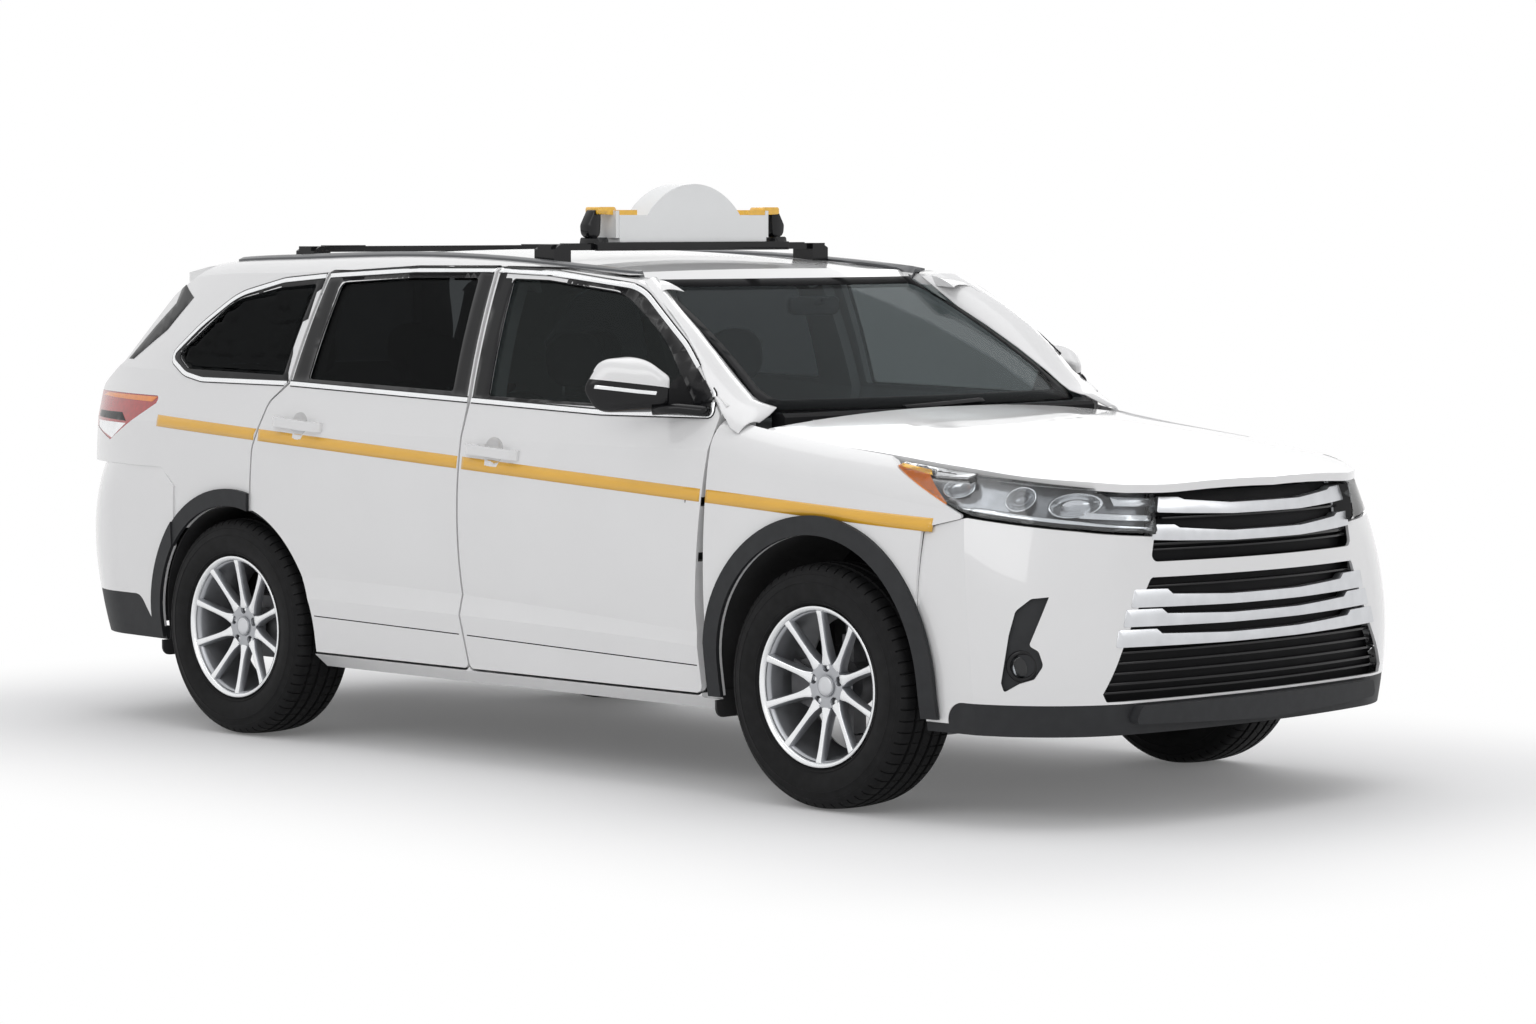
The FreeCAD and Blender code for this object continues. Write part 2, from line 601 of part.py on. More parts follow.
def lid_pocket(place, reach_x, reach_z, reach_up=0.0):
    """What a lid leaves free for its two hinges: bore, room round the ear, and the quarter that the arm sweeps."""
    x, z = place["x"], place["z"]
    rooms = []
    for y in (place["y"], -place["y"]):
        bore = cylinder(x, y - HINGE_W / 2 - 13, z, HINGE_PIN_R + RUN_FIT, HINGE_W + 26, V(0, 1, 0))
        low, wide = y - HINGE_W / 2 - 1, HINGE_W + 2
        ear = cylinder(x, low, z, HINGE_EAR_R + 1, wide, V(0, 1, 0))
        x0, x1 = sorted((x + reach_x, x - math.copysign(HINGE_EAR_R + 1, reach_x)))
        rooms.append(box(x0, x1, low, low + wide, z - reach_z, z + reach_up).fuse([ear, bore]))
    return rooms


def lid_hinges(place, arm_points):
    """Two hinges of a lid: pins along Y, each on an arm that is drawn in side view."""
    x, z = place["x"], place["z"]
    pairs = []
    for y in (place["y"], -place["y"]):
        pin = cylinder(x, y - HINGE_W / 2 - 11, z, HINGE_PIN_R, HINGE_W + 22, V(0, 1, 0))
        ear = cylinder(x, y - HINGE_W / 2, z, HINGE_EAR_R, HINGE_W, V(0, 1, 0))
        arm = stretched(side_area(arm_points), V(0, 1, 0), y - HINGE_W / 2, y + HINGE_W / 2)
        pairs.append(pin.fuse([ear, arm]))
    return pairs


def hood_hinges():
    x, z, wall_x = HOOD_HINGE["x"], HOOD_HINGE["z"], FLOOR_X[1] + SEAT
    r = HINGE_EAR_R
    return lid_hinges(HOOD_HINGE, [(x - r, z), (x + r, z), (x + r, z - 50), (wall_x, z - 90), (wall_x, z - 50), (x - r, z - 40)])


def gate_hinges():
    x, z, r = GATE_HINGE["x"], GATE_HINGE["z"], HINGE_EAR_R
    foot = ROOF_LIP_X + 40
    arms = [(x - r, z), (x + r, z), (x + r, z - 50), (foot - 30, z - 50), (foot - 30, z + 60), (foot, z + 60), (foot, z - 64),
            (x - r, z - 64)]
    return [biggest(h.cut(roof_shell(ROOF_T + SEAT, 0).fuse(box(-1700, foot + 5, -800, 800, 1630, 1800)))) for h in
            lid_hinges(GATE_HINGE, arms)]


def hood_shell(depth, grow):
    sections = [crowned(x, 860, edge_z, middle_z, depth, 0.0) for x, edge_z, middle_z in HOOD]
    return Part.makeLoft(sections, True, False).common(upright(plan_half(HOOD_PLAN, grow), 800, 1300))


def hood():
    panel = hood_shell(HOOD_T, 0)
    for room in lid_pocket(HOOD_HINGE, -60, 60):
        panel = panel.cut(room)
    return panel


def windscreen():
    return biggest(between_sides(Part.makeLoft(screen_sections(WINDSCREEN, 0, WINDSCREEN_T), True, False)))


def spoiler():
    """Rear end of the roof line, which opens with the tailgate."""
    shell = roof_shell(SPOILER["t"]).common(box(SPOILER["tip"], SPOILER["front"], -800, 800, 1400, 1800))
    plan = [(SPOILER["front"], 0), (SPOILER["front"], 600), (-1900, 590, 80), (SPOILER["tip"] + 30, 520, 60), (SPOILER["tip"], 0)]
    return shell.common(upright(plan_half(plan), 1400, 1800))


def tailgate():
    shape = front_half(TAILGATE).cut(front_half(TAILGATE_WINDOW))
    gate = tailgate_wall(0, TAILGATE_T).common(lengthwise(shape, -2600, -1700)).fuse(spoiler())
    for room in lid_pocket(GATE_HINGE, 60, 60, HINGE_EAR_R):
        gate = gate.cut(room)
    return gate


def tailgate_pane():
    return tailgate_wall(GLASS_IN, GLASS_IN + GLASS_T).common(
        lengthwise(front_half(TAILGATE_WINDOW, -SEAT), -2600, -1700))


# ---------------------------------------------------------------- fenders, bumpers, grille, lamps and trim
GRILLE_IN = 3.0               # how far the grille's front and back lie behind the cover's surface
GRILLE_DEPTH = 46.0
GRILLE_BARS = [936, 794, 749]                      # heights of the bright bars
GRILLE_SLATS = [870, 690, 629, 563, 509, 455, 420] # and of the dark slats
LAMP_DEPTH = 70.0
SKID = {"low": 286.0, "high": 362.0, "half": 565.0, "out": 30.0}


def fender():
    """Front fender skin, cut round the wheel, the headlamp and the door."""
    shape = side_area(FENDER_PANEL).cut(arch_area(ARCH["front"])).cut(side_area(HEADLAMP, 4))
    return fender_wall(0, SKIN_T).common(across(shape))


def both_halves(face):
    return stretched(face, V(0, 1, 0), -1000, 1000)


def front_bumper():
    shape = side_area(FRONT_COVER).cut(arch_area(ARCH["front"], SEAT)).cut(side_area(HEADLAMP, 4))
    shell = cover(FRONT_PLAN, FRONT_FLANK_X, 0, SKIN_T).common(both_halves(shape))
    for opening in (GRILLE_UPPER, GRILLE_LOWER):
        shell = shell.cut(lengthwise(front_half(opening), 2200, 2600))
    fog = stretched(area(FOG_OPENING, nose_place), NOSE_LOOK, 1900, 2400)
    return biggest(shell.cut(hood_shell(HOOD_T + GAP, GAP)).cut(fog).cut(mirrored(fog)))


def fog_cylinder(grow):
    f = FOG_LAMP
    start = nose_place(f["u"], f["z"]) + NOSE_LOOK * (f["front"] - f["deep"])
    return Part.makeCylinder(f["r"] + grow, f["deep"], start, NOSE_LOOK)


def fog_bezel():
    """Dark plate that closes the left fog lamp's opening a little behind the cover's surface."""
    plate = cover(FRONT_PLAN, FRONT_FLANK_X, 12, 40)
    return plate.common(stretched(area(FOG_OPENING, nose_place, -SEAT), NOSE_LOOK, 1900, 2400)).cut(fog_cylinder(SEAT))


def front_layer(outer, inner, face):
    """Part of the front cover's form between two offsets, within a front-view face."""
    return cover(FRONT_PLAN, FRONT_FLANK_X, outer, inner).common(lengthwise(face, 2150, 2600))


def grille():
    """Frame and bars behind the two front openings, one moulding."""
    openings = front_half(GRILLE_UPPER, -SEAT).fuse(front_half(GRILLE_LOWER, -SEAT))
    frame = openings.cut(front_half([(0, 786), (440, 786), (408, 958), (0, 958)]))
    frame = frame.cut(front_half([(0, 386), (630, 386), (632, 397), (456, 716), (0, 716)]))
    bars = frame
    for z in GRILLE_BARS:
        bars = bars.fuse(front_half([(0, z - 17), (700, z - 17), (700, z + 17), (0, z + 17)]).common(openings))
    for z in GRILLE_SLATS:
        bars = bars.fuse(front_half([(0, z - 6), (700, z - 6), (700, z + 6), (0, z + 6)]).common(openings))
    return front_layer(GRILLE_IN, GRILLE_DEPTH, bars).cut(hood_shell(HOOD_T + GAP, GAP))


def front_trim():
    """Dark lower part of the front, with the bright skid bar."""
    low = side_area([(1868 + SEAT, 272), (1868 + SEAT, 300 - SEAT), (1960 + SEAT, 300 - SEAT), (1960 + SEAT, 365 - SEAT, 60), (2600, 365 - SEAT),
                     (2600, 272)])
    low = low.cut(arch_area(ARCH["front"], SEAT))
    trim = cover(FRONT_PLAN, FRONT_FLANK_X, 2, 34).common(both_halves(low))
    bar = front_half([(0, SKID["low"]), (SKID["half"], SKID["low"] + 20, 15), (SKID["half"] - 20, SKID["high"] - 4, 15),
                      (0, SKID["high"] - 4)])
    return trim.fuse(cover(FRONT_PLAN, FRONT_FLANK_X, -SKID["out"], 12).common(lengthwise(bar, 2150, 2600)))


def headlamp():
    shape = side_area(HEADLAMP, -SEAT + 4)
    inner = side_area([(2000, 1300), (2000, 700), (2600, 700), (2600, 1300)])
    flank = fender_wall(2, LAMP_DEPTH).common(across(shape.cut(inner)))
    nose = cover(FRONT_PLAN, FRONT_FLANK_X, 2, LAMP_DEPTH).common(across(shape.common(inner), 440, 1000))
    lamp = flank.fuse(nose).cut(lengthwise(front_half(GRILLE_UPPER, 4), 2150, 2600))
    return lamp.cut(hood_shell(HOOD_T + GAP, GAP))


def tail_lamp():
    body = wall(2, 2, LAMP_DEPTH, LAMP_DEPTH).common(across(side_area(TAIL_LAMP, -SEAT)))
    return body.cut(lengthwise(front_half(TAILGATE, GAP), -2600, -1700))


def rear_bumper():
    shape = side_area(REAR_COVER).cut(arch_area(ARCH["rear"], SEAT))
    return cover(REAR_PLAN, REAR_FLANK_X, 0, SKIN_T).common(both_halves(shape))


def rear_trim():
    low = side_area([(-1700, 300), (-1700, 346 - SEAT), (-1800, 346 - SEAT), (-1880, 452 - SEAT, 60), (-2600, 452 - SEAT),
                     (-2600, 300)])
    low = low.cut(arch_area(ARCH["rear"], SEAT))
    return cover(REAR_PLAN, REAR_FLANK_X, 2, 30).common(both_halves(low))


def arch_rings():
    """Mouldings round the wheel openings: the rear one stops at the door, and follows the bumper behind the frame."""
    front = arch_area(ARCH["front"], CLADDING_W, 309).cut(arch_area(ARCH["front"], 0, 200))
    rear = arch_area(ARCH["rear"], CLADDING_W, 309).cut(arch_area(ARCH["rear"], 0, 200)).cut(side_area(REAR_DOOR, GAP))
    behind = side_area([(FRAME_END_X, 100), (FRAME_END_X, 1000), (-2600, 1000), (-2600, 100)])
    ahead = side_area([(FRAME_END_X + SEAT, 100), (FRAME_END_X + SEAT, 1000), (0, 1000), (0, 100)])
    return [
        fender_wall(-CLADDING_T, -SEAT).common(across(front)),
        wall(-CLADDING_T, -CLADDING_T, -SEAT, -SEAT).common(across(rear.common(ahead))),
        cover(REAR_PLAN, REAR_FLANK_X, -CLADDING_T, -SEAT).common(across(rear.common(behind))),
    ]


# ---------------------------------------------------------------- floor, wheel houses and what hangs under them
FLOOR_Z = (262.0, 292.0)
REAR_FLOOR_Z = (500.0, 530.0)
FLOOR_X = (-900.0, 1090.0)
FIREWALL_T = 30.0
FIREWALL_TOP = 1110.0
RAIL_Y = (400.0, 470.0)
RAIL_Z = (440.0, 560.0)
BEAM_X = (2180.0, 2230.0)
TOWER = {"z": 900.0, "t": 20.0, "x": 90.0, "y": (475.0, 690.0)}
JACK_PAD = {"x": (900.0, -800.0), "y": (615.0, 690.0), "half": 60.0, "low": 250.0}
LINER_T = 4.0
LINER_IN = {"front": 500.0, "rear": 676.0}
FRONT_LINER_GROW = 12.0
STRUT = {"y": 600.0, "r": 32.0}
FLAP_Y = (716.0, 930.0)
FLAP_LOW = 246.0
FLAP_T = 8.0


def floor_pan():
    """Floor, firewall, rear floor and the rails and beam that carry the front end."""
    x0, x1 = FLOOR_X
    section = [
        (x1, FLOOR_Z[0]), (x1, FIREWALL_TOP), (x1 - FIREWALL_T, FIREWALL_TOP), (x1 - FIREWALL_T, FLOOR_Z[1]),
        (x0, FLOOR_Z[1]), (x0 - 40, REAR_FLOOR_Z[1]), (-2235, REAR_FLOOR_Z[1]), (-2235, 880), (-2265, 880),
        (-2265, REAR_FLOOR_Z[0]), (x0 - 70, REAR_FLOOR_Z[0]), (x0 - 30, FLOOR_Z[0]),
    ]
    pan = between_sides(stretched(side_area(section), V(0, 1, 0), -860, 860))
    parts = []
    for side in (1, -1):
        y0, y1 = sorted((side * RAIL_Y[0], side * RAIL_Y[1]))
        parts.append(box(x1 - 5, BEAM_X[0] + 5, y0, y1, RAIL_Z[0], RAIL_Z[1]))
        t0, t1 = sorted((side * TOWER["y"][0], side * TOWER["y"][1]))
        x = FRONT_AXLE_X
        parts.append(box(x - TOWER["x"], x + TOWER["x"], t0, t1, TOWER["z"], TOWER["z"] + TOWER["t"]))
        w0, w1 = sorted((side * (RAIL_Y[0] + 40), side * (TOWER["y"][0] + 12)))
        parts.append(box(x - TOWER["x"], x + TOWER["x"], w0, w1, RAIL_Z[0], TOWER["z"] + TOWER["t"]))
        r0, r1 = sorted((side * LINER_IN["rear"], side * 1000))
        pan = pan.cut(box(REAR_AXLE_X - 430, REAR_AXLE_X + 430, r0, r1, 200, 800))
        house = arch_area(ARCH["front"], FRONT_LINER_GROW + LINER_T + SEAT)
        h0, h1 = sorted((side * (LINER_IN["front"] - SEAT), side * 1000))
        pan = pan.cut(stretched(house, V(0, 1, 0), h0, h1))
        for pad_x in JACK_PAD["x"]:
            p0, p1 = sorted((side * JACK_PAD["y"][0], side * JACK_PAD["y"][1]))
            parts.append(box(pad_x - JACK_PAD["half"], pad_x + JACK_PAD["half"], p0, p1, JACK_PAD["low"], FLOOR_Z[0] + 5))
    parts.append(box(BEAM_X[0], BEAM_X[1], -640, 640, 400, 820))
    parts.append(box(BEAM_X[0], BEAM_X[1], -410, 410, 820, 960))
    return pan.fuse(parts)


def wheel_liner(name):
    """Half-round shell in a wheel house, with its inner end closed at the rear."""
    arch, inner = ARCH[name], LINER_IN[name]
    if name == "front":
        shell = arch_area(arch, FRONT_LINER_GROW + LINER_T, 305).cut(arch_area(arch, FRONT_LINER_GROW, 200))
        liner = stretched(shell, V(0, 1, 0), inner, 960).cut(fender_wall(-60, SKIN_T + SEAT))
        liner = liner.cut(cylinder(arch["x"], STRUT["y"], 700, STRUT["r"] + 4, 300, V(0, 0, 1)))
        return biggest(liner.cut(cover(FRONT_PLAN, FRONT_FLANK_X, -60, SKIN_T + SEAT)))
    shell = arch_area(arch, -SEAT, 305).cut(arch_area(arch, -LINER_T, 200))
    liner = stretched(shell, V(0, 1, 0), inner, 960).cut(wall(-60, -60, 12, 12))
    end = stretched(arch_area(arch, -SEAT, 305), V(0, 1, 0), inner, inner + LINER_T)
    return liner.fuse(end.cut(box(arch["x"] - 90, arch["x"] + 90, 600, 800, 200, 366)))


def mud_flap(name):
    """Rubber sheet hanging behind a wheel from the rear leg of its liner."""
    arch = ARCH[name]
    leg = arch["r"] + FRONT_LINER_GROW if name == "front" else arch["r"] - SEAT - LINER_T
    x = arch["x"] - leg - LINER_T
    sheet = area([(FLAP_Y[0], 330), (895, 330), (895, 300), (FLAP_Y[1], 300), (FLAP_Y[1], FLAP_LOW, 30), (FLAP_Y[0], FLAP_LOW, 30)],
                 front_place)
    return lengthwise(sheet, x, x + FLAP_T)


# ---------------------------------------------------------------- wheels, knuckles and suspension
HUB_R = 62.0
SPINDLE_R = 20.0
SPINDLE_Y = {"front": 800.0, "rear": 806.0}
DISC_R = 160.0
DISC_T = 22.0
SPOKES = 10
SPOKE_W = (30.0, 20.0)        # at the hub and at the rim
SPOKE_T = 22.0
OFFSET = 45.0                 # wheel's mounting face outboard of its middle plane
KNUCKLE_X = 24.0
KNUCKLE_Y = (738.0, 792.0)
KNUCKLE_Z = (222.0, 520.0)
TYRE_PROFILE = [              # radius, distance from the middle plane: half of the section, from bead to crown
    (228.8, 103.6), (244.4, 103.6), (264.0, 118.0), (300.0, 122.5), (348.0, 116.0), (366.0, 98.0), (372.0, 0.0),
]
RIM_PROFILE = [               # radius, distance from the middle plane: the barrel from its outer to its inner flange
    (243.0, 112.0), (243.0, 105.0), (228.5, 104.0), (228.5, 88.0), (206.0, 70.0), (206.0, -60.0), (228.5, -92.0), (228.5, -104.0),
    (243.0, -105.0), (243.0, -112.0), (236.0, -112.0), (222.0, -106.0), (220.0, -90.0), (198.0, -62.0), (198.0, 66.0),
    (217.0, 88.0), (221.0, 104.0), (236.0, 112.0),
]


def turned(points, x, y, z):
    """Solid turned about an axis along Y through (x, z), from (radius, distance outboard of y) points."""
    wire = Part.Wire(Part.makePolygon([V(x, y + d, z + r) for r, d in points + points[:1]]))
    return Part.Face(wire).revolve(V(x, y, z), V(0, 1, 0), 360)


def tyre(x, y):
    """Left tyre: bulged sidewalls and a nearly flat tread."""
    half = [V(x, y + d, AXLE_Z + r) for r, d in TYRE_PROFILE]
    other = [V(x, y - d, AXLE_Z + r) for r, d in TYRE_PROFILE]
    edges = [line(other[0], half[0]), line(half[0], half[1]), arc(*half[1:4]), arc(*half[3:6])]
    edges.append(arc(half[5], half[6], other[5]))
    edges += [arc(other[5], other[4], other[3]), arc(other[3], other[2], other[1]), line(other[1], other[0])]
    return Part.Face(Part.Wire(edges)).revolve(V(x, y, AXLE_Z), V(0, 1, 0), 360)


def wheel(axle):
    """Left wheel: barrel, hub with its spokes, and brake disc, with the bearing bore through the hub."""
    x = ARCH[axle]["x"]
    y = HALF_TRACK[axle]
    rim = turned(RIM_PROFILE, x, y, AXLE_Z)
    start = SPINDLE_Y[axle] + 4
    hub = cylinder(x, start, AXLE_Z, HUB_R, y + OFFSET + 22 - start, V(0, 1, 0))
    disc = cylinder(x, start, AXLE_Z, DISC_R, DISC_T, V(0, 1, 0))
    face_y = y + OFFSET
    spokes = []
    for i in range(SPOKES):
        root, tip = SPOKE_W
        blade = Part.makePolygon([
            V(x - root / 2, face_y + 20, AXLE_Z + HUB_R - 12), V(x + root / 2, face_y + 20, AXLE_Z + HUB_R - 12),
            V(x + tip / 2, face_y + 46, AXLE_Z + 214), V(x - tip / 2, face_y + 46, AXLE_Z + 214),
            V(x - root / 2, face_y + 20, AXLE_Z + HUB_R - 12)])
        spoke = Part.Face(Part.Wire(blade)).extrude(V(0, -SPOKE_T, 0))
        spoke.rotate(V(x, 0, AXLE_Z), V(0, 1, 0), 360.0 * i / SPOKES)
        spokes.append(spoke)
    whole = rim.fuse([hub, disc] + spokes)
    return whole.cut(cylinder(x, 700, AXLE_Z, SPINDLE_R + RUN_FIT, y + OFFSET - 700, V(0, 1, 0)))


def spindle(axle, start):
    """Stub axle that a wheel's hub turns on."""
    x, end = ARCH[axle]["x"], HALF_TRACK[axle] + OFFSET - 6
    return cylinder(x, start, AXLE_Z, SPINDLE_R, end - start, V(0, 1, 0))


def knuckle():
    """Left steering knuckle with its spindle and brake caliper, bored for the two steering pins."""
    x = FRONT_AXLE_X
    upright_block = box(x - KNUCKLE_X, x + KNUCKLE_X, *KNUCKLE_Y, *KNUCKLE_Z)
    carrier = cylinder(x, KNUCKLE_Y[0], AXLE_Z, 70, SPINDLE_Y["front"] - KNUCKLE_Y[0], V(0, 1, 0))
    ring = [Part.Face(Part.Wire(Part.makeCircle(r, V(x, 0, AXLE_Z), V(0, 1, 0)))) for r in (186, 95)]
    sector = area([(x, AXLE_Z), (x - 230, AXLE_Z + 90), (x - 230, AXLE_Z - 90)], side_place)
    pad = ring[0].cut(ring[1]).common(sector)
    caliper = stretched(pad, V(0, 1, 0), 770, 846)
    slot = cylinder(x, SPINDLE_Y["front"] - 2, AXLE_Z, DISC_R + 6, DISC_T + 12, V(0, 1, 0))
    bracket = box(x - 150, x, 770, 792, AXLE_Z - 30, AXLE_Z + 30)
    body = upright_block.fuse([carrier, caliper.cut(slot), bracket, spindle("front", SPINDLE_Y["front"] - 20)])
    return body.cut(cylinder(x, STEER_AXIS_Y, 100, STEER_PIN_R + RUN_FIT, 500, V(0, 0, 1)).cut(
        box(x - 40, x + 40, 700, 860, 262, 480)))


ARM_T = 24.0


def front_suspension():
    """Cross-member, lower and upper arms, steering pins and spring struts of both sides."""
    x = FRONT_AXLE_X
    parts = []
    low, high = KNUCKLE_Z
    for side in (1, -1):
        y_pin = side * STEER_AXIS_Y
        up = V(0, 0, 1)
        parts.append(cylinder(x, y_pin, low - 8, STEER_PIN_R, 44, up))
        parts.append(cylinder(x, y_pin, high - 36, STEER_PIN_R, 44, up))
        for z in (low - 6 - ARM_T, high + 6):
            y0, y1 = sorted((side * 560, y_pin + side * 16))
            parts.append(box(x - 20, x + 20, y0, y1, z, z + ARM_T))
        y0, y1 = sorted((side * 440, side * 600))
        parts.append(box(x - 60, x + 60, y0, y1, low - 6 - ARM_T, low - 6))
        parts.append(cylinder(x, side * STRUT["y"], high + 6, STRUT["r"], TOWER["z"] - SEAT - high - 6, up))
        y0, y1 = sorted((side * 420, side * 600))
        parts.append(box(x - 24, x + 24, side * 480 - 6, side * 480 + 6, low - 6, RAIL_Z[0] - SEAT))
        y0, y1 = sorted((side * (TOWER["y"][0] + 12 + SEAT), side * 605))
        parts.append(box(x - 20, x + 20, y0, y1, high + 6, high + 6 + ARM_T))
    cross = box(x - 60, x + 60, -500, 500, low - 6 - ARM_T, low - 6 + 60)
    return cross.fuse(parts)


def rear_suspension():
    """Cross-member, arms, wheel carriers with their spindles, and springs of both sides."""
    x = REAR_AXLE_X
    cross = box(x - 80, x + 80, -420, 420, 270, 350)
    parts = []
    for side in (1, -1):
        for z, dx in ((262, 60), (330, -60)):
            y0, y1 = sorted((side * 400, side * 735))
            parts.append(box(x + dx - 18, x + dx + 18, y0, y1, z, z + 26))
        y0, y1 = sorted((side * 712, side * 780))
        parts.append(box(x - 85, x + 85, y0, y1, 258, 470))
        parts.append(cylinder(x, y0, AXLE_Z, 60, SPINDLE_Y["rear"] - 712, V(0, 1, 0)) if side > 0 else
                     cylinder(x, -SPINDLE_Y["rear"], AXLE_Z, 60, SPINDLE_Y["rear"] - 712, V(0, 1, 0)))
        stub = spindle("rear", 720)
        parts.append(stub if side > 0 else mirrored(stub))
        parts.append(cylinder(x, side * 600, 300, 45, REAR_FLOOR_Z[0] - SEAT - 300, V(0, 0, 1)))
        y0, y1 = sorted((side * 400, side * 640))
        parts.append(box(x - 50, x + 50, y0, y1, 280, 320))
    return cross.fuse(parts)


# ---------------------------------------------------------------- engine, exhaust, cabin
ENGINE = {"x": (1300.0, 2040.0), "y": RAIL_Y[0] - SEAT, "z": (336.0, 960.0)}
PIPE_R = 30.0
PIPE_Y = -300.0
PIPE_Z = FLOOR_Z[0] - PIPE_R - SEAT
PIPE_X = (1000.0, -1000.0, -1730.0, -2330.0)     # front end, rise, silencer and tail
TAIL_PIPE_Z = 420.0
SILENCER_R = 68.0
SEAT_Y = 372.0
SEAT_W = 500.0
HEAD_REST_W = 260.0
WHEEL_HUB = (560.0, -372.0, 1010.0)
STEER_RIM_R = 182.0
STEER_TILT = 24.0


def engine():
    """Engine and gearbox as one block of their real size, between the rails."""
    return box(*ENGINE["x"], -ENGINE["y"], ENGINE["y"], *ENGINE["z"])


def exhaust():
    """Pipe under the floor with its catalyst, over the rear cross-member to a silencer and a tail pipe."""
    x_front, x_kick, x_box, x_tail = PIPE_X
    run = cylinder(x_kick, PIPE_Y, PIPE_Z, PIPE_R, x_front - x_kick, V(1, 0, 0))
    catalyst = cylinder(x_front - 620, PIPE_Y, PIPE_Z, PIPE_R + 14, 300, V(1, 0, 0)).common(
        box(-3000, 3000, -1000, 1000, 0, FLOOR_Z[0] - SEAT))
    low, high = V(x_kick, PIPE_Y, PIPE_Z), V(x_kick - 140, PIPE_Y, TAIL_PIPE_Z)
    rise = Part.makeCylinder(PIPE_R, low.distanceToPoint(high), low, high - low)
    joints = [Part.makeSphere(PIPE_R, p) for p in (low, high)]
    over = cylinder(x_box, PIPE_Y, TAIL_PIPE_Z, PIPE_R, high.x - x_box, V(1, 0, 0))
    silencer = cylinder(x_box - 330, PIPE_Y, TAIL_PIPE_Z - 10, SILENCER_R, 330, V(1, 0, 0))
    tail = cylinder(x_tail, PIPE_Y, TAIL_PIPE_Z - 10, PIPE_R, x_box - 300 - x_tail, V(1, 0, 0))
    return run.fuse([catalyst, rise, over, silencer, tail] + joints)


def seat(x, width, low, cushion_z, tall, places):
    """Cushion and leaning back as one form in side view, with a head restraint at each place given in y."""
    body = [
        (x + 250, low), (x + 270, cushion_z + 20, 40), (x - 200, cushion_z - 12, 60), (x - 318, tall - 210, 30), (x - 400, tall - 200, 30),
        (x - 350, cushion_z - 30, 120), (x - 330, low),
    ]
    rest = [(x - 322, tall - 215), (x - 318, tall - 180, 20), (x - 330, tall, 30), (x - 392, tall, 30), (x - 392, tall - 215)]
    solid = stretched(area(body, side_place), V(0, 1, 0), -width / 2, width / 2)
    for y in places:
        solid = solid.fuse(stretched(area(rest, side_place), V(0, 1, 0), y - HEAD_REST_W / 2, y + HEAD_REST_W / 2))
    return solid


def front_seats():
    chairs = []
    for side in (1, -1):
        chair = seat(150, SEAT_W, FLOOR_Z[1] + SEAT, 600, 1395, [0])
        chair.translate(V(0, side * SEAT_Y, 0))
        chairs.append(chair)
    return chairs


def rear_seats():
    return [
        seat(-560, 1240, FLOOR_Z[1] + SEAT, 600, 1375, [-SEAT_Y, SEAT_Y]),
        seat(-1400, 1000, REAR_FLOOR_Z[1] + SEAT, 740, 1390, [-SEAT_Y + 70, SEAT_Y - 70]),
    ]


def dashboard():
    """Instrument panel across the cabin, with the steering column's stub."""
    points = [
        (FLOOR_X[1] - FIREWALL_T - SEAT, 560), (FLOOR_X[1] - FIREWALL_T - SEAT, 1100), (1000, 1150, 40), (760, 1140, 80), (690, 1000, 60),
        (740, 760, 60), (900, 640, 40),
    ]
    panel = between_sides(stretched(area(points, side_place), V(0, 1, 0), -850, 850))
    house = arch_area(ARCH["front"], FRONT_LINER_GROW + LINER_T + SEAT)
    inner = LINER_IN["front"] - SEAT
    return panel.cut(stretched(house, V(0, 1, 0), inner, 1000)).cut(stretched(house, V(0, 1, 0), -1000, -inner))


def steering_axis():
    a = math.radians(STEER_TILT)
    return V(-math.cos(a), 0, math.sin(a))


def column():
    """Column from the instrument panel to the steering wheel, ending in the pin that the wheel turns on."""
    axis = steering_axis()
    hub = V(*WHEEL_HUB)
    tube = Part.makeCylinder(26, 190, hub - axis * 230, axis)
    pin = Part.makeCylinder(9, 60, hub - axis * 45, axis)
    return tube.fuse(pin)


def steering_wheel():
    axis = steering_axis()
    hub = V(*WHEEL_HUB)
    rim = Part.makeTorus(STEER_RIM_R, 14, hub, axis)
    boss = Part.makeCylinder(60, 46, hub - axis * 34, axis)
    wheel_solid = rim.fuse(boss)
    for angle in (0, 120, 240):
        spoke = Part.makeCylinder(11, STEER_RIM_R - 5, hub, V(0, 1, 0))
        spoke.rotate(hub, axis, 90 + angle)
        wheel_solid = wheel_solid.fuse(spoke)
    return wheel_solid.cut(Part.makeCylinder(9 + RUN_FIT, 50, hub - axis * 36, axis))


# ---------------------------------------------------------------- roof bars, roof sign, mirrors, hinges
# Cross bars: x, z of the top
BARS = [(-70.0, 1684.0), (-1300.0, 1672.0)]
BAR_T = 20.0
BAR_W = 66.0
BAR_HALF = 636.0
BAR_OVER = 30.0               # how far past the roof's edge the form runs on that the feet stand on
BAR_FOOT = (96.0, 74.0)
BAR_PAD = {"y": (385.0, 545.0), "t": 3.0, "in": 8.0}      # rubber strips that a load rests on
SIGN = {"x": (-124.0, -26.0), "z": 1684.0 + SEAT, "half": 340.0, "shoulder": 1779.0, "top": 1883.0, "dome": 215.0, "round": 16.0}
SIGN_SKIRT = {"x": (-36.0, -26.0), "low": 1664.0, "half": 335.0}
SIGN_END = {"t": 14.0, "low": 1704.0, "high": 1794.0, "x": (-122.0, -30.0)}
SIGN_LAMP = {"y": (258.0, 340.0), "high": 1796.0}


